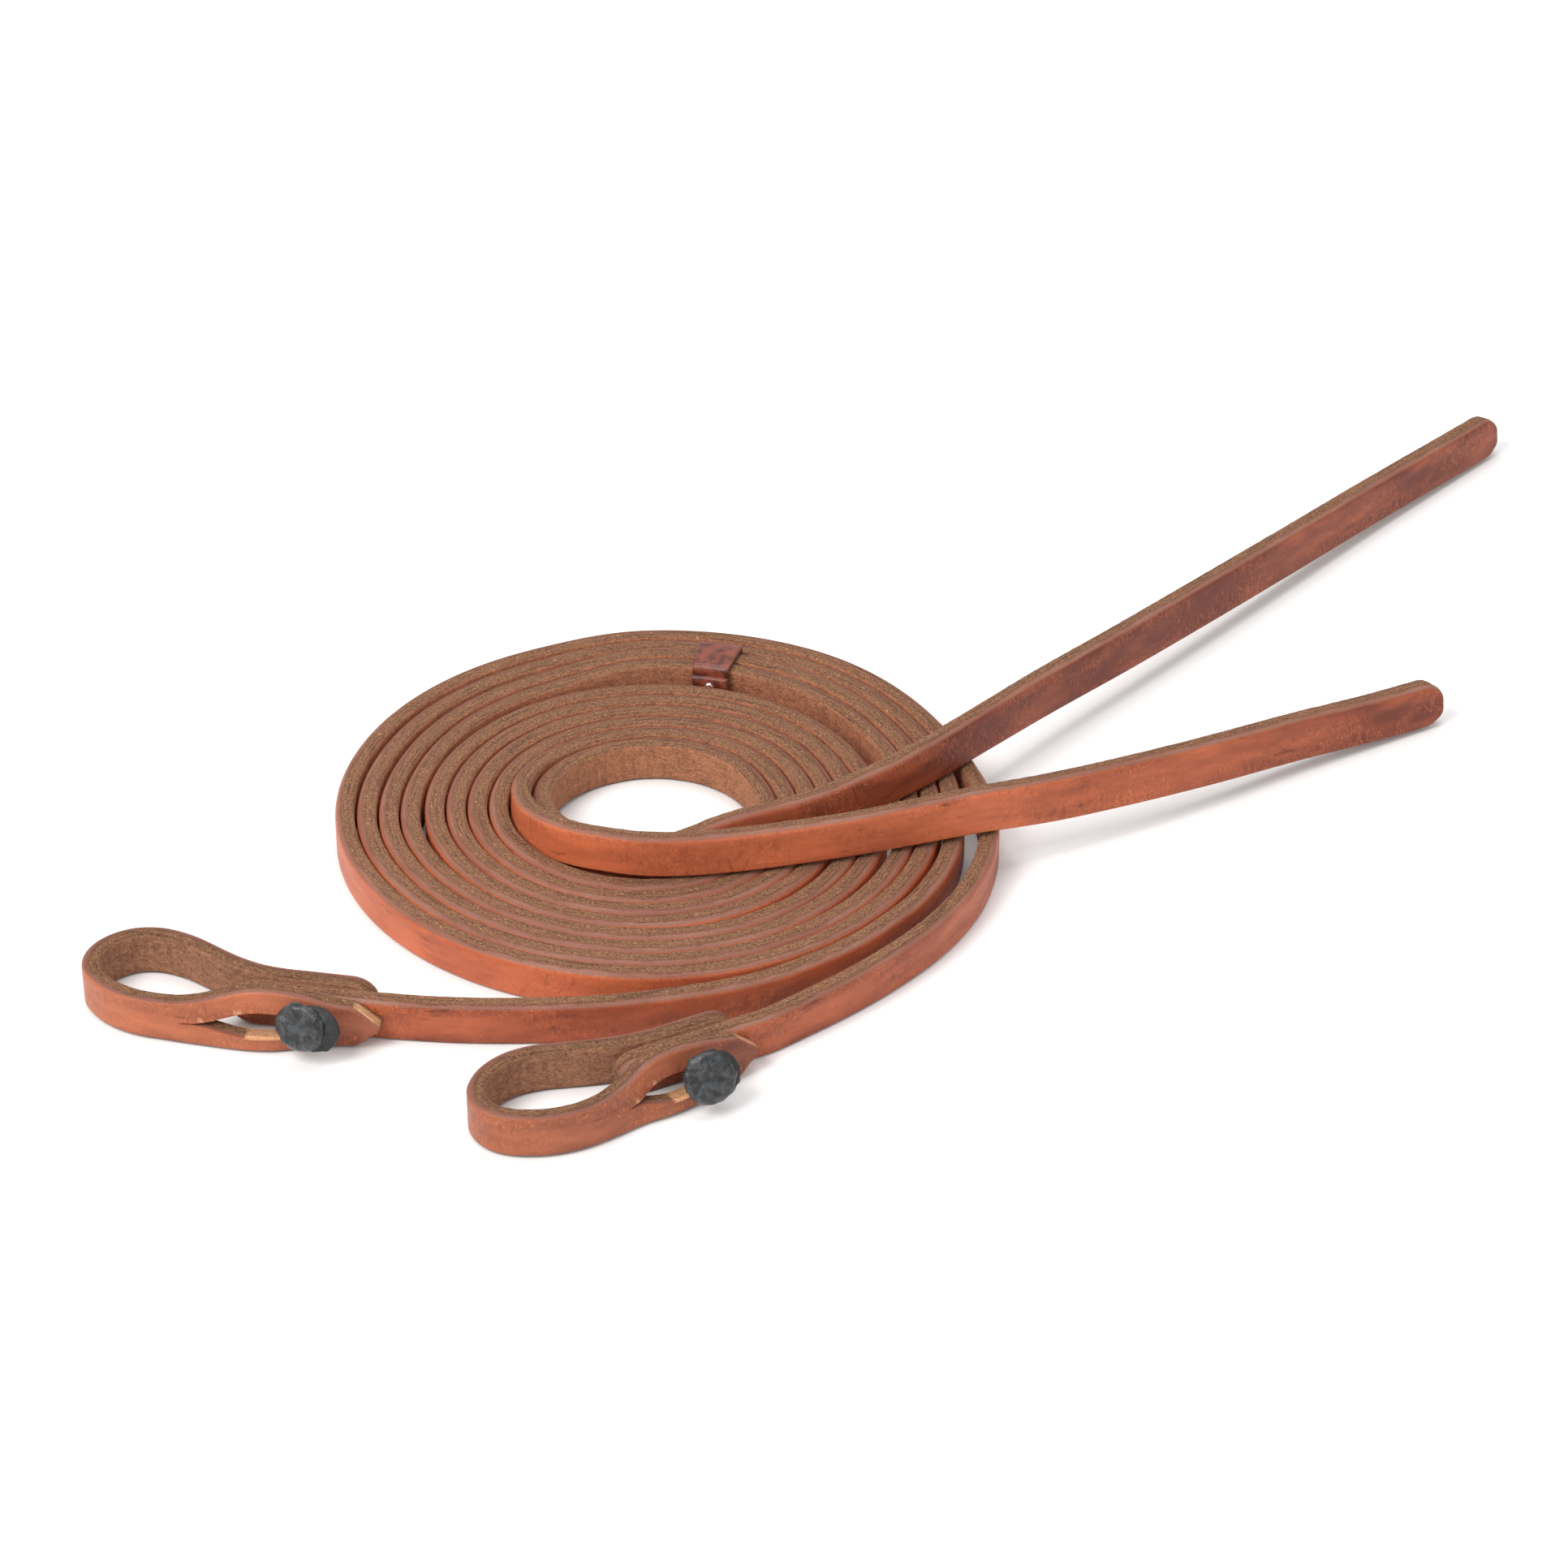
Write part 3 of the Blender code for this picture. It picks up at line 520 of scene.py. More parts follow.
def rein(side, material):
    """One whole rein with rounded grain edges and uneven cut edges, and its centre line."""
    route = with_end_points(curve_through(rein_route(side), FINE_STEP))
    distances = distances_along(route)
    length = distances[-1]
    verts = []
    strap_marks = []
    depth_marks = []
    tone_marks = []
    centre_line = []
    for i, (x, y, height, lean, growth) in enumerate(route):
        width, thickness = strap_size(growth)
        heading = heading_at(route, i)
        left = Vector((-sin(heading), cos(heading), 0.0))
        tilt = radians(lean)
        across = left * cos(tilt) - Vector((0, 0, sin(tilt)))
        upright = left * sin(tilt) + Vector((0, 0, cos(tilt)))
        foot = Vector((x, y, height + thickness / 2 * sin(tilt)))
        centre = foot + upright * (width / 2)
        centre_line.append(centre)
        s = distances[i]
        from_end = min(s, length - s)
        bevel = END_BEVEL * (1 - sqrt(1 - (1 - min(from_end / END_BEVEL, 1.0)) ** 2))
        half_height = width / 2 * rounded_ends(s, length) - bevel
        half_depth = thickness / 2 - bevel
        wobble = THICKNESS_WOBBLE * noise.noise(Vector((s * 0.02, 3.0, 7.0)))
        tone = between(TONES[side], s / length)
        for c, h in strap_section(half_depth, half_height):
            spot = Vector((s * STRAP_GRAIN[0], c * STRAP_GRAIN[1],
                           h * STRAP_GRAIN[2] + 40.0 * REIN_LAG[side]))
            rough = noise.noise(spot) * EDGE_ROUGHNESS * (c < half_depth - GRAIN_EDGE * 0.7)
            edge = 1.0 if abs(h) > half_height - 0.5 else 0.35
            rise = h + rough * edge * (1 if h > 0 else -1) - abs(rough) * (h < 0)
            shift = c + wobble * (c > 0) + rough * 0.4 * (c < -half_depth + 0.1)
            verts.append(centre - across * shift + upright * rise)
            strap_marks.append((s, c, h))
            depth_marks.append((thickness / 2 - c) * STRAP_THICKNESS / thickness)
            tone_marks.append(tone)
    count = len(verts) // len(route)
    faces = [(i * count + k, i * count + (k + 1) % count,
              (i + 1) * count + (k + 1) % count, (i + 1) * count + k)
             for i in range(len(route) - 1) for k in range(count)]
    faces += [tuple(range(count)), tuple(range(len(verts) - count, len(verts)))]
    layout = frame_matrix(0.0, 0.0, 0.0, 0.0)
    piece = make_piece("rein_" + side + "_leather", verts, faces, layout,
                       {"strap": strap_marks, "depth": depth_marks, "tone": tone_marks,
                        "fresh": [0.0] * len(verts)}, material)
    return piece, [layout @ point for point in centre_line]


def slit_opening(side, along):
    """How far the slit is open at this distance from the knot, from 0 to 1."""
    if along <= SLIT_ENDS[side] or along >= SLIT_BEGINS:
        return 0.0
    from_end = smoothstep((along - SLIT_ENDS[side]) / (-9.0 - SLIT_ENDS[side]))
    from_knot = min(1.0, (SLIT_BEGINS - along) / 1.3)
    return max(0.08, from_end * from_knot)


def loop_route(side):
    """The loop strap from its tip to the end of the far flap: (along, upper, lower, raised)."""
    far = FAR_FLAP + [(FAR_END[side], -FLAP, -FLAP)]
    corners = [(FLAP_TIP[side], FLAP, FLAP, 0.0)] + NEAR_FLAP
    corners += [point + (raised,) for point, raised in zip(BENDS[side], (1.0, 0.4))]
    corners += [point + (0.0,) for point in BENDS[side][2:] + far]
    route = curve_through(corners, 1.3)
    for along in (SLIT_BEGINS, 1.9, SLIT_ENDS[side]):
        index = next(i for i, point in enumerate(route) if point[0] < along)
        before = route[index - 1]
        share = (before[0] - along) / (before[0] - route[index][0])
        if 0.15 < share < 0.85:
            route.insert(index, tuple(p + (q - p) * share for p, q in zip(before, route[index])))
        else:
            near = index if share >= 0.5 else index - 1
            route[near] = (along,) + tuple(route[near][1:])
    return with_end_points(route, (0.12, 0.4, 0.7))


def half_chain(middle, edge, aside):
    """Points from the grain side's middle line round a rim to the flesh side's middle line.

    Middle and edge are points in the strap's mid-thickness. Returns (point, depth) pairs.
    """
    reach = (edge - middle).length
    up = (edge - middle) / max(reach, 1e-6)
    half = LOOP_THICKNESS / 2
    grain = min(GRAIN_RIM, reach * 0.45)
    flesh = min(FLESH_EDGE, reach * 0.3)
    steps = [(-half, reach), (-half, reach * 0.93), (-half, reach * 0.7),
             (-half, reach * 0.45 + grain * 0.4)]
    for k in range(6):
        turn = radians(18.0 * k)
        steps.append((-half + grain - grain * cos(turn), grain - grain * sin(turn)))
    steps += [(-0.4, 0.0), (0.7, 0.0)]
    for k in range(3):
        turn = radians(45.0 * k)
        steps.append((half - flesh + flesh * sin(turn), flesh - flesh * cos(turn)))
    steps += [(half, reach * 0.45 + flesh * 0.4), (half, reach * 0.7), (half, reach * 0.93),
              (half, reach)]
    return [(edge - up * down + aside * across, across + half) for across, down in steps]


def bit_loop(side, material):
    """The folded loop strap, in a frame at its knot: X along the rein, Y inwards, Z up."""
    route = loop_route(side)
    middle = [(along, -(upper + lower) / 2) for along, upper, lower, _ in route]
    distances = distances_along(middle)
    verts = []
    marks = {"strap": [], "depth": [], "tone": [], "fresh": []}
    stations = []
    for i, (along, upper, lower, raised) in enumerate(route):
        heading = heading_at(middle, i)
        aside = Vector((sin(heading), -cos(heading), 0.0))
        half = LOOP_WIDTH / 2 * loop_ends(distances[i], distances[-1])
        low = LOOP_WIDTH / 2 - half - KNOT_HEIGHT
        high = LOOP_WIDTH / 2 + half + raised - KNOT_HEIGHT
        centre = (upper + lower) / 2
        opening = slit_opening(side, along) if distances[i] < distances[-1] / 2 else 0.0
        if opening:
            up = upper + SLIT_TURN_OUT + (centre - upper - SLIT_TURN_OUT) * (1 - opening) ** 2
            down = lower + (centre - lower) * (1 - opening) ** 2
            above = Vector((along, -up, SLIT_OPEN_UP * opening))
            below = Vector((along, -down, -SLIT_OPEN_DOWN * opening))
        else:
            above = Vector((along, -centre, (low + high) / 2 - 0.6 * raised))
            below = above
        chains = []
        for start, end in ((above, Vector((along, -upper, high))),
                           (below, Vector((along, -lower, low)))):
            chain = []
            for point, depth in half_chain(start, end, aside):
                spot = point * 0.7
                edge = (point - end).length
                rough = LOOP_ROUGHNESS * noise.noise(spot) * (depth > 1.2)
                chain.append(len(verts))
                verts.append(point + (end - start).normalized() * rough * (edge < LOOP_RIM))
                marks["strap"].append((distances[i], depth, point.z))
                marks["depth"].append(depth)
                marks["tone"].append(LOOP_TONE[side] + 0.35 * smoothstep((along + 4.0) / 12.0))
                from_middle = abs((point - start).dot((end - start).normalized()))
                slit_wall = opening > 0.0 and from_middle < MIDDLE_TOLERANCE
                arrow_cut = distances[i] < ARROW_END and edge < ARROW_RIM and depth > 0.5
                marks["fresh"].append(float(slit_wall or arrow_cut))
            chains.append(chain)
        if not opening:
            chains[1][0] = chains[0][0]
            chains[1][-1] = chains[0][-1]
        stations.append((chains, bool(opening)))
    faces = []
    for (here, here_open), (there, there_open) in zip(stations, stations[1:]):
        for chain, following in zip(here, there):
            for a in range(len(chain) - 1):
                faces.append((chain[a], chain[a + 1], following[a + 1], following[a]))
            if here_open or there_open:
                faces.append((chain[-1], chain[0], following[0], following[-1]))
    for chains, _ in (stations[0], stations[-1]):
        faces.append(tuple(chains[0]) + tuple(reversed(chains[1][1:-1])))
    (x, y), heading = BIT_ENDS[side]
    piece = make_piece("bit_loop_" + side + "_leather", verts, faces,
                       frame_matrix(x, y, KNOT_HEIGHT, heading), marks, material, sharp=48)
    return drop_loose(piece)


def drop_loose(piece):
    """Remove points that no face uses."""
    bm = bmesh.new()
    bm.from_mesh(piece.data)
    bmesh.ops.delete(bm, geom=[v for v in bm.verts if not v.link_faces], context="VERTS")
    bm.to_mesh(piece.data)
    bm.free()
    return piece


def head_profile():
    """The knot's head from its back to its front, as (reach, radius, share of the back roll)."""
    back_roll = [(4.6 * k / 3, 0.0) for k in (0.37, 1, 2, 3)]
    rings = [(reach, radius, 1.0) for radius, reach in back_roll]
    rings += [(0.25, 5.35, 1.0), (0.7, 5.9, 1.0), (1.3, 6.12, 1.0), (1.8, 6.1, 0.9),
              (2.15, 5.8, 0.7), (2.4, 5.4, 0.5), (2.6, 5.5, 0.3), (2.8, 5.95, 0.1),
              (3.1, 6.3, 0.0), (3.6, 6.4, 0.0), (4.1, 6.3, 0.0), (4.5, 6.0, 0.0),
              (4.85, 5.55, 0.0), (5.05, 4.9, 0.0), (5.15, 4.1, 0.0), (5.15, 3.2, 0.0),
              (5.1, 2.3, 0.0), (5.05, 1.4, 0.0), (5.05, 0.6, 0.0)]
    return rings


def hammered(point, seed):
    """How far a spot of the knot is beaten in or out, in millimetres."""
    spot = Vector(point) * 0.42 + Vector((seed, 0.0, 0.0))
    reach = noise.voronoi(spot)[0]
    dent = reach[0] ** 2 * 1.1 - 0.28
    return HAMMER_DEPTH * dent + HAMMER_NOISE * noise.noise(Vector(point) * 1.5)


def bleed_knot(side, material):
    """The thong's tucked end, its shank through three layers and its rolled button head."""
    (along, out, up), turned, aside, (wide, high) = KNOT_HEADS[side]
    straight = Matrix.Identity(3)
    tipped = (Matrix.Rotation(radians(turned), 3, "Z")
              @ Matrix.Rotation(radians(-KNOT_HEAD_PITCH), 3, "X"))
    face = FLAP + LOOP_THICKNESS / 2 + FIT
    stem = [(face + 2.0, 1.2), (face + 2.0, 2.2), (face + 1.75, 2.8), (face + 1.2, 3.15),
            (face + 0.2, 3.1), (face, 2.8), (face, KNOT_SHANK_RADIUS), (0.0, KNOT_SHANK_RADIUS),
            (-face, KNOT_SHANK_RADIUS)]
    rings = [((0.0, y, 0.0), straight, radius, radius, 0.0) for y, radius in stem]
    back = Vector((along, -out, up))
    for reach, radius, back_roll in head_profile():
        centre = back + tipped @ Vector((aside * back_roll, -reach, 0.0))
        rings.append((centre, tipped, radius * wide, radius * high, 1.0))
    verts = []
    fronts = []
    seed = {"a": 2.3, "b": 9.1}[side]
    for centre, turn, across, upright, beaten in rings:
        for k in range(KNOT_SIDES):
            around = 2 * pi * k / KNOT_SIDES
            outward = turn @ Vector((cos(around), 0.0, sin(around)))
            point = Vector(centre) + turn @ Vector((across * cos(around), 0.0,
                                                    upright * sin(around)))
            if beaten and across > 2.0:
                local = point - back
                push = hammered(local, seed)
                facing = turn @ Vector((0.0, -1.0, 0.0))
                front = smoothstep((local.dot(facing) - 3.6) / 1.3)
                point += (outward * (1 - front) + facing * front) * push
            verts.append(point)
            fronts.append(smoothstep(((point - back).dot(turn @ Vector((0, -1, 0))) - 2.2) / 0.6)
                          if beaten else 0.0)
    faces = []
    for i in range(len(rings) - 1):
        for k in range(KNOT_SIDES):
            a = i * KNOT_SIDES + k
            b = i * KNOT_SIDES + (k + 1) % KNOT_SIDES
            faces.append((a, b, b + KNOT_SIDES, a + KNOT_SIDES))
    faces += [tuple(range(KNOT_SIDES)), tuple(range(len(verts) - KNOT_SIDES, len(verts)))]
    (x, y), heading = BIT_ENDS[side]
    return make_piece("bleed_knot_" + side + "_thong", verts, faces,
                      frame_matrix(x, y, KNOT_HEIGHT, heading), {"front": fronts}, material)


def keeper_band(material):
    """A folded leather band with soft corners, its ends overlapping on the inner side."""
    outer = KEEPER_RADIUS + KEEPER_HALF
    inner = KEEPER_RADIUS - KEEPER_HALF
    low = LIFT - KEEPER_CLEARANCE
    high = LIFT + STRAP_WIDTH + KEEPER_CLEARANCE
    foot = low - KEEPER_WALL + 0.05
    top = high + KEEPER_WALL

    def arc(x, z, radius, start, steps=5):
        return [(x + radius * cos(radians(start + 90 * k / steps)),
                 z + radius * sin(radians(start + 90 * k / steps))) for k in range(steps + 1)]

    wall = KEEPER_WALL
    bend = 2.1
    seam = RIVET_HEIGHT + 2.9
    shell = arc(outer + wall - bend, foot + bend, bend, -90) + arc(outer + wall - bend,
                                                                   top - bend, bend, 0)
    shell += arc(inner - wall + bend, top - bend, bend, 90)
    shell += [(inner - wall, seam + 0.25), (inner - wall, seam - 0.05),
              (inner - wall - 0.35, seam), (inner - 2 * wall + 0.3, seam - 0.15)]
    shell += [(inner - 2 * wall, seam - 0.5), (inner - 2 * wall, RIVET_HEIGHT),
              (inner - 2 * wall, foot + bend)]
    shell += arc(inner - 2 * wall + bend, foot + bend, bend, 180)[1:]
    tight = 0.35
    lining = arc(outer - tight, low + tight, tight, -90) + arc(outer - tight, high - tight,
                                                               tight, 0)
    lining += arc(inner + tight, high - tight, tight, 90)
    lining += [(inner, seam + 0.2), (inner, seam), (inner, seam - 0.1), (inner, seam - 0.2)]
    lining += [(inner, seam - 0.5), (inner, RIVET_HEIGHT), (inner, low + tight)]
    lining += arc(inner + tight, low + tight, tight, 180)[1:]
    count = len(shell)
    round_off = 0.35
    steps = [(-1.0, round_off), (-1.0 + 0.02, round_off * 0.35), (-1.0 + 0.06, 0.0), (-0.75, 0.0),
             (-0.5, 0.0), (-0.25, 0.0), (0.0, 0.0), (0.25, 0.0), (0.5, 0.0), (0.75, 0.0),
             (1.0 - 0.06, 0.0), (1.0 - 0.02, round_off * 0.35), (1.0, round_off)]
    verts = []
    depth = []
    strap = []
    for share, inset in steps:
        turn = share * KEEPER_WIDTH / 2 / KEEPER_RADIUS
        for layer, ring in ((0, shell), (1, lining)):
            for k, (radius, height) in enumerate(ring):
                other = (lining if layer == 0 else shell)[k]
                gap = hypot(other[0] - radius, other[1] - height)
                move = inset * (1.0 if layer == 0 else 0.4) / max(gap, 0.5)
                radius += (other[0] - radius) * move
                height += (other[1] - height) * move
                verts.append((radius * cos(turn), radius * sin(turn), height))
                depth.append(layer * KEEPER_WALL + inset)
                strap.append((share * KEEPER_WIDTH / 2, height, radius))
    ring_size = 2 * count
    faces = []
    for i in range(len(steps) - 1):
        for k in range(count):
            following = (k + 1) % count
            a, b = i * ring_size + k, i * ring_size + following
            faces.append((a, b, b + ring_size, a + ring_size))
            faces.append((a + count, b + count, b + count + ring_size, a + count + ring_size))
    for base in (0, (len(steps) - 1) * ring_size):
        for k in range(count):
            following = (k + 1) % count
            faces.append((base + k, base + following, base + count + following, base + count + k))
    return make_piece("keeper_band_leather", verts, faces,
                      frame_matrix(*KEEPER_PIVOT, 0.0, KEEPER_ANGLE),
                      {"strap": strap, "depth": depth}, material, sharp=60)


class Graph:
    """A material's node tree. Each call adds a node and returns one of its sockets."""

    def __init__(self, name):
        self.material = bpy.data.materials.new(name)
        self.material.use_nodes = True
        self.tree = self.material.node_tree
        self.shader = self.tree.nodes["Principled BSDF"]

    def add(self, kind, inputs=(), output=0, **settings):
        node = self.tree.nodes.new("ShaderNode" + kind)
        for key, value in settings.items():
            setattr(node, key, value)
        for place, value in dict(inputs).items():
            if isinstance(value, bpy.types.NodeSocket):
                self.tree.links.new(value, node.inputs[place])
            else:
                node.inputs[place].default_value = value
        return node.outputs[output]

    def mark(self, name, output):
        return self.add("Attribute", output=output, attribute_name=name)

    def stretch(self, vector, factors):
        return self.add("VectorMath", {0: vector, 1: factors}, operation="MULTIPLY")

    def math(self, operation, a, b=0.0, clamp=False):
        return self.add("Math", {0: a, 1: b}, operation=operation, use_clamp=clamp)

    def noise(self, vector, scale, detail=3.0, roughness=0.5, distortion=0.0, **settings):
        return self.add("TexNoise", {"Vector": vector, "Scale": scale, "Detail": detail,
                                     "Roughness": roughness, "Distortion": distortion},
                        **settings)

    def levels(self, value, low, high, to_low=0.0, to_high=1.0):
        """Values from low to high, smoothly spread from to_low to to_high."""
        return self.add("MapRange", {0: value, 1: low, 2: high, 3: to_low, 4: to_high},
                        interpolation_type="SMOOTHSTEP")

    def mix(self, share, a, b, blend="MIX"):
        a, b = (x if isinstance(x, bpy.types.NodeSocket) else (*x, 1.0) for x in (a, b))
        return self.add("Mix", {0: share, 6: a, 7: b}, output=2, data_type="RGBA",
                        blend_type=blend)

    def bump(self, height, distance, strength=1.0, normal=None):
        inputs = {"Height": height, "Distance": distance, "Strength": strength}
        if normal:
            inputs["Normal"] = normal
        return self.add("Bump", inputs)

    def set(self, **sockets):
        for name, value in sockets.items():
            socket = self.shader.inputs[name.replace("_", " ")]
            if isinstance(value, bpy.types.NodeSocket):
                self.tree.links.new(value, socket)
            else:
                socket.default_value = value
        return self.material


def colour(red, green, blue):
    """A colour given as 0-255 screen values, as linear light."""
    return tuple(((v / 255 + 0.055) / 1.055) ** 2.4 if v > 10 else v / 255 / 12.92
                 for v in (red, green, blue))


def scaled(tint, factor):
    """A colour made darker or lighter."""
    return tuple(min(1.0, v * factor) for v in tint)


def leather(name, light, dark, burnished, fibre, shade, flesh, thickness):
    """Harness leather: a creased grain side, burnished edges, a fibrous cut edge and flesh.

    The point values it reads are the place on the strap, the depth below the grain face, how dark
    the grain is, and where a cut has bared fresh leather.
    """
    g = Graph(name)
    strap = g.mark("strap", 1)
    depth = g.mark("depth", 2)
    tone = g.mark("tone", 2)
    fresh = g.mark("fresh", 2)

    # The grain side: cloudy dye, pale creases across the strap with painted shade in the fold beside each, pores and
    # dark rubbed spots
    cloud = g.noise(g.stretch(strap, (0.035, 0.2, 0.14)), 1.0, 5.0, 0.62)
    darkness = g.math("ADD", tone, g.math("MULTIPLY", g.math("SUBTRACT", cloud, 0.5), 1.5),
                      clamp=True)
    grain = g.mix(darkness, light, dark)
    warp = g.noise(g.stretch(strap, (0.3, 0.3, 0.3)), 1.0, 3.0, output=1)
    bent = g.add("VectorMath", {0: g.stretch(strap, (1.0, 1.0, 0.26)),
                                1: g.stretch(warp, (4.2, 0.0, 0.8))}, operation="ADD")
    wrinkle = g.noise(bent, 0.7, 4.0, 0.66)
    ridge = g.math("ABSOLUTE", g.math("SUBTRACT", wrinkle, 0.5))
    crease = g.levels(ridge, 0.0, 0.03, 1.0, 0.0)
    patches = g.levels(g.noise(g.stretch(strap, (0.04, 0.1, 0.1)), 1.0, 2.0), 0.4, 0.6)
    crease = g.math("MULTIPLY", crease, patches)
    grain = g.mix(g.math("MULTIPLY", crease, 0.5), grain, scaled(light, 1.5))
    # Painted shade: the fold beside each pale crease is darkened
    furrow_shade = g.levels(g.math("SUBTRACT", wrinkle, 0.56), 0.0, 0.05, 0.0, 1.0)
    furrow_shade = g.math("MULTIPLY", furrow_shade, patches)
    grain = g.mix(g.math("MULTIPLY", furrow_shade, 0.3), grain, scaled(dark, 0.7))
    pores = g.noise(strap, 3.6, 3.0, 0.68)
    grain = g.mix(g.levels(pores, 0.32, 0.62, 0.34, 0.0), grain, scaled(dark, 0.45))
    smudge = g.noise(g.stretch(strap, (0.06, 0.3, 0.28)), 1.0, 5.0, 0.72)
    grain = g.mix(g.levels(smudge, 0.58, 0.72, 0.0, 0.6), grain, scaled(dark, 0.35))
    scuff = g.noise(g.stretch(strap, (0.2, 0.3, 0.5)), 1.3, 4.0, 0.7)
    grain = g.mix(g.levels(scuff, 0.68, 0.78, 0.0, 0.5), grain, fibre)

    # The cut edge: dark leather, painted shade in furrows along the strap and in small pits, and clumps of pale loose
    # fibres
    fuzz = g.noise(g.stretch(strap, (0.75, 1.2, 1.0)), 1.7, 5.0, 0.85)
    edge = g.mix(g.levels(fuzz, 0.38, 0.6), scaled(shade, 0.75), scaled(fibre, 0.8))
    # Painted shade: the furrows along the strap, low in the fibre bump, are darkened
    lines = g.noise(g.stretch(strap, (0.05, 1.7, 0.4)), 1.0, 4.0, 0.7)
    edge = g.mix(g.levels(lines, 0.36, 0.5, 0.7, 0.0), edge, scaled(shade, 0.5))
    mottle = g.noise(g.stretch(strap, (0.22, 0.6, 0.5)), 1.0, 4.0, 0.7)
    fleck = g.noise(g.stretch(strap, (0.9, 1.4, 1.2)), 1.4, 4.0, 0.8, 0.8)
    fleck = g.math("MULTIPLY", g.levels(fleck, 0.52, 0.62), g.levels(mottle, 0.4, 0.56))
    edge = g.mix(g.math("MULTIPLY", fleck, 0.9), edge, scaled(fibre, 1.7))
    # Painted shade: small pits in the cut edge are darkened
    pit_shade = g.noise(g.stretch(strap, (0.6, 1.0, 1.0)), 1.4, 3.0, 0.7)
    edge = g.mix(g.levels(pit_shade, 0.32, 0.42, 0.8, 0.0), edge, scaled(shade, 0.3))
    # Fresh cut leather is pale, and this colour is painted brighter still as painted light, so the shaded walls inside
    # the slit read as lit
    cut = g.mix(g.levels(fuzz, 0.3, 0.7), scaled(fibre, 1.0), scaled(fibre, 2.1))

    # The flesh side: a soft brown nap
    nap = g.noise(g.stretch(strap, (0.5, 1.0, 0.9)), 1.8, 5.0, 0.75)
    back = g.mix(g.levels(nap, 0.32, 0.66), scaled(flesh, 0.6), scaled(flesh, 1.15))
    streak = g.noise(g.stretch(strap, (0.5, 1.0, 0.08)), 1.0, 3.0, 0.6)
    back = g.mix(g.levels(streak, 0.35, 0.5, 0.35, 0.0), back, scaled(flesh, 0.45))

    wander = g.noise(g.stretch(strap, (0.12, 0.5, 0.5)), 1.0, 3.0, 0.6)
    ragged = g.noise(strap, 1.9, 3.0, 0.7)
    place = g.math("ADD", depth, g.math("MULTIPLY", g.math("SUBTRACT", wander, 0.5), 2.2))
    place = g.math("ADD", place, g.math("MULTIPLY", g.math("SUBTRACT", ragged, 0.5), 1.4))
    burnish = g.mix(g.levels(pores, 0.3, 0.7), scaled(burnished, 0.72), burnished)
    burnish = g.mix(g.levels(cloud, 0.35, 0.65, 0.0, 0.35), burnish, scaled(dark, 0.9))
    colours = g.mix(g.levels(depth, 0.15, 0.6), grain, burnish)
    to_edge = g.levels(place, 1.1, 2.4)
    colours = g.mix(to_edge, colours, edge)
    to_flesh = g.levels(depth, thickness - 0.35, thickness - 0.05)
    colours = g.mix(to_flesh, colours, back)
    # The fresh cuts take the pale cut colour, which carries painted light
    colours = g.mix(g.math("MULTIPLY", fresh, 0.9), colours, cut)

    rough = g.math("ADD", g.levels(place, 0.5, 1.9, 0.4, 0.9),
                   g.math("MULTIPLY", g.math("SUBTRACT", cloud, 0.5), 0.24))
    fine = g.bump(g.math("MULTIPLY", pores, g.levels(place, 0.8, 1.8, 1.0, 0.0)), 0.00008, 0.9)
    creased = g.bump(g.math("MULTIPLY", g.math("ADD", crease, wrinkle),
                            g.levels(depth, 0.2, 0.9, 1.0, 0.0)), 0.00012, 0.7, fine)
    tufts = g.math("ADD", fuzz, g.math("MULTIPLY", fleck, 0.6))
    tufts = g.math("ADD", tufts, g.math("MULTIPLY", lines, 1.2))
    fibrous = g.bump(g.math("MULTIPLY", tufts, to_edge), 0.0007, 0.9, creased)
    napped = g.bump(g.math("MULTIPLY", nap, to_flesh), 0.0003, 0.7, fibrous)
    return g.set(Base_Color=colours, Roughness=rough, Normal=napped, Specular_IOR_Level=0.28)


def band_leather():
    """Dark, smooth, oiled leather with a paler cut edge."""
    g = Graph("keeper_leather_finish")
    strap = g.mark("strap", 1)
    depth = g.mark("depth", 2)
    cloud = g.noise(strap, 0.35, 4.0, 0.6)
    pores = g.noise(strap, 5.0, 3.0, 0.6)
    face = g.mix(g.levels(cloud, 0.35, 0.65), colour(84, 38, 28), colour(142, 70, 50))
    face = g.mix(g.levels(pores, 0.3, 0.7, 0.35, 0.0), face, colour(70, 34, 27))
    fuzz = g.noise(strap, 3.2, 4.0, 0.7)
    cut_edge = g.mix(g.levels(fuzz, 0.35, 0.65), colour(72, 44, 32), colour(140, 92, 62))
    colours = g.mix(g.levels(depth, 0.3, 0.6), face, cut_edge)
    bump = g.bump(pores, 0.00004, 0.7)
    return g.set(Base_Color=colours, Roughness=g.levels(cloud, 0.3, 0.7, 0.3, 0.42), Normal=bump,
                 Specular_IOR_Level=0.5)


def black_latigo():
    """Waxed black leather, beaten smooth at the front and rougher behind."""
    g = Graph("black_latigo_finish")
    spot = g.add("TexCoord", output=3)
    front = g.mark("front", 2)
    cloud = g.noise(spot, 420.0, 4.0, 0.65)
    grit = g.noise(spot, 1900.0, 3.0, 0.7)
    wax = g.mix(g.levels(cloud, 0.4, 0.66), colour(17, 18, 20), colour(62, 64, 67))
    rough_side = g.mix(g.levels(grit, 0.4, 0.7), colour(16, 16, 17), colour(44, 44, 46))
    colours = g.mix(front, rough_side, wax)
    fibre = g.bump(grit, 0.00012, 0.7)
    lumps = g.bump(cloud, 0.0006, 0.8, fibre)
    shine = g.math("ADD", g.levels(front, 0.0, 1.0, 0.6, 0.2), g.levels(grit, 0.3, 0.7, 0.0, 0.14))
    return g.set(Base_Color=colours, Roughness=shine, Normal=lumps, Specular_IOR_Level=0.6)


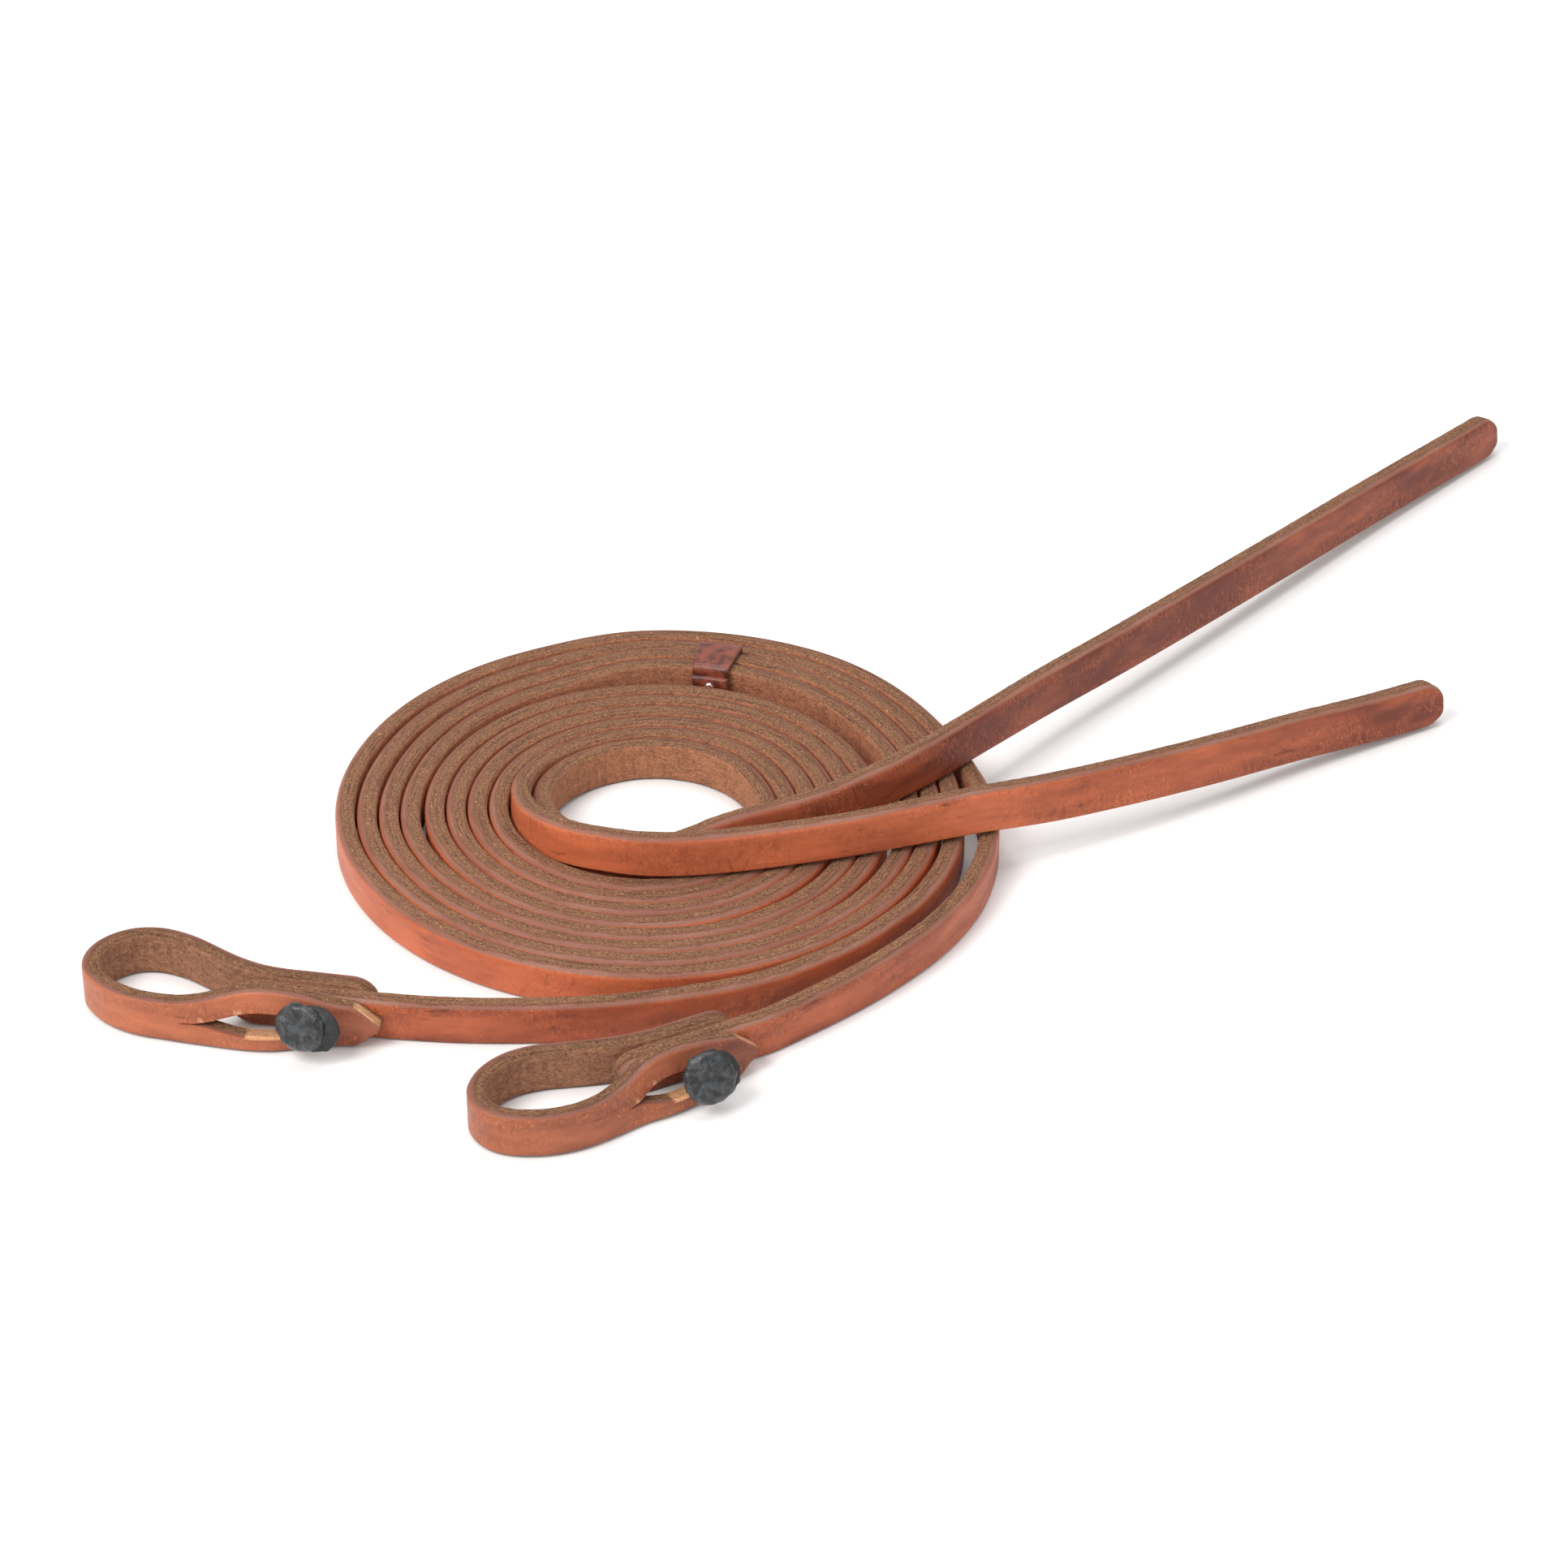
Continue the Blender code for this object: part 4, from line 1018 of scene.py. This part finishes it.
def nickel():
    """Bright nickel plate with faint scratches."""
    g = Graph("rivet_nickel_finish")
    spot = g.add("TexCoord", output=3)
    scratch = g.noise(g.stretch(spot, (900.0, 4000.0, 900.0)), 1.0, 3.0, 0.6)
    cloud = g.noise(spot, 900.0, 3.0, 0.6)
    plate = g.mix(g.levels(cloud, 0.3, 0.7), colour(206, 203, 196), colour(236, 234, 229))
    return g.set(Base_Color=plate, Metallic=1.0, Roughness=g.levels(scratch, 0.3, 0.7, 0.16, 0.3),
                 Normal=g.bump(scratch, 0.00001, 0.4))


def add_area(name, place, aim, size, power, tint):
    """A soft square light that looks at a point."""
    data = bpy.data.lights.new(name, "AREA")
    data.size = size
    data.energy = power
    data.color = tint
    light = bpy.data.objects.new(name, data)
    light.location = place
    light.rotation_euler = (Vector(aim) - Vector(place)).to_track_quat("-Z", "Y").to_euler()
    bpy.context.collection.objects.link(light)


def make_stage():
    """The camera, the pale floor and the soft studio light."""
    data = bpy.data.cameras.new("camera")
    data.sensor_width = CAMERA_SENSOR
    data.lens = CAMERA_LENS
    data.clip_start = 0.01
    data.clip_end = 50.0
    camera = bpy.data.objects.new("camera", data)
    camera.location = CAMERA_PLACE
    camera.rotation_euler = (radians(CAMERA_TILT), 0.0, 0.0)
    bpy.context.collection.objects.link(camera)
    bpy.context.scene.camera = camera

    g = Graph("floor_white")
    speck = g.noise(g.add("TexCoord", output=3), 3.0, 3.0, 0.5)
    white = g.mix(g.levels(speck, 0.3, 0.7), (0.90, 0.90, 0.90), (0.91, 0.91, 0.91))
    g.set(Base_Color=white, Roughness=0.9, Specular_IOR_Level=0.1)
    mesh = bpy.data.meshes.new("floor")
    corners = [(-1, -1), (1, -1), (1, 1), (-1, 1)]
    mesh.from_pydata([(x * FLOOR_REACH, y * FLOOR_REACH, FLOOR_DROP) for x, y in corners], [],
                     [(0, 1, 2, 3)])
    mesh.materials.append(g.material)
    floor = bpy.data.objects.new("floor", mesh)
    bpy.context.collection.objects.link(floor)
    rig.stage(floor)

    for light in LIGHTS:
        add_area(*light)
    world = bpy.data.worlds.new("studio")
    world.use_nodes = True
    background = world.node_tree.nodes["Background"]
    background.inputs["Color"].default_value = (1.0, 1.0, 1.0, 1.0)
    background.inputs["Strength"].default_value = WORLD_STRENGTH
    bpy.context.scene.world = world
    bpy.context.scene.view_settings.view_transform = "Standard"


def main():
    """Build the looks and hand every piece to its body."""
    make_stage()
    strap_leather = leather("harness_leather_finish", colour(220, 118, 76), colour(116, 54, 38),
                            colour(156, 108, 89), colour(202, 147, 109), colour(122, 78, 60),
                            colour(206, 140, 104), STRAP_THICKNESS)
    loop_leather = leather("loop_leather_finish", colour(206, 120, 82), colour(108, 56, 41),
                           colour(146, 98, 82), colour(190, 138, 100), colour(110, 70, 53),
                           colour(196, 140, 108), LOOP_THICKNESS)
    latigo = black_latigo()
    for side in ("a", "b"):
        strap, centre_line = rein(side, strap_leather)
        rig.ride(strap, "reins")
        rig.replaces(strap, "rein_" + side)
        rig.slot(strap, "harness_leather")
        length = sum((q - p).length for p, q in zip(centre_line, centre_line[1:]))
        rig.cord(strap, exit=centre_line[0], length=length, diameter=STRAP_WIDTH * MM,
                far_end="bare", stiffness="stiff", lay="coiled", path=centre_line)
        loop = bit_loop(side, loop_leather)
        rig.ride(loop, "bit_end_" + side)
        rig.replaces(loop, "bit_loop_" + side)
        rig.slot(loop, "loop_leather")
        knot = bleed_knot(side, latigo)
        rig.ride(knot, "bit_end_" + side)
        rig.replaces(knot, "bleed_knot_" + side)
        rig.slot(knot, "black_latigo")
    band = keeper_band(band_leather())
    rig.ride(band, "keeper")
    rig.replaces(band, "keeper_band")
    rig.slot(band, "keeper_leather")
    plate = nickel()
    for node in ("keeper_rivet_cap", "keeper_rivet_post"):
        for place in frame["nodes"][node].material_slots:
            place.material = plate


main()

with open("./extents.json", "w") as file:
    json.dump({"cad": [[float(v) for v in corner] for corner in cad_box],
               "visual": [[float(v) for v in corner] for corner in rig.bounds()]}, file)
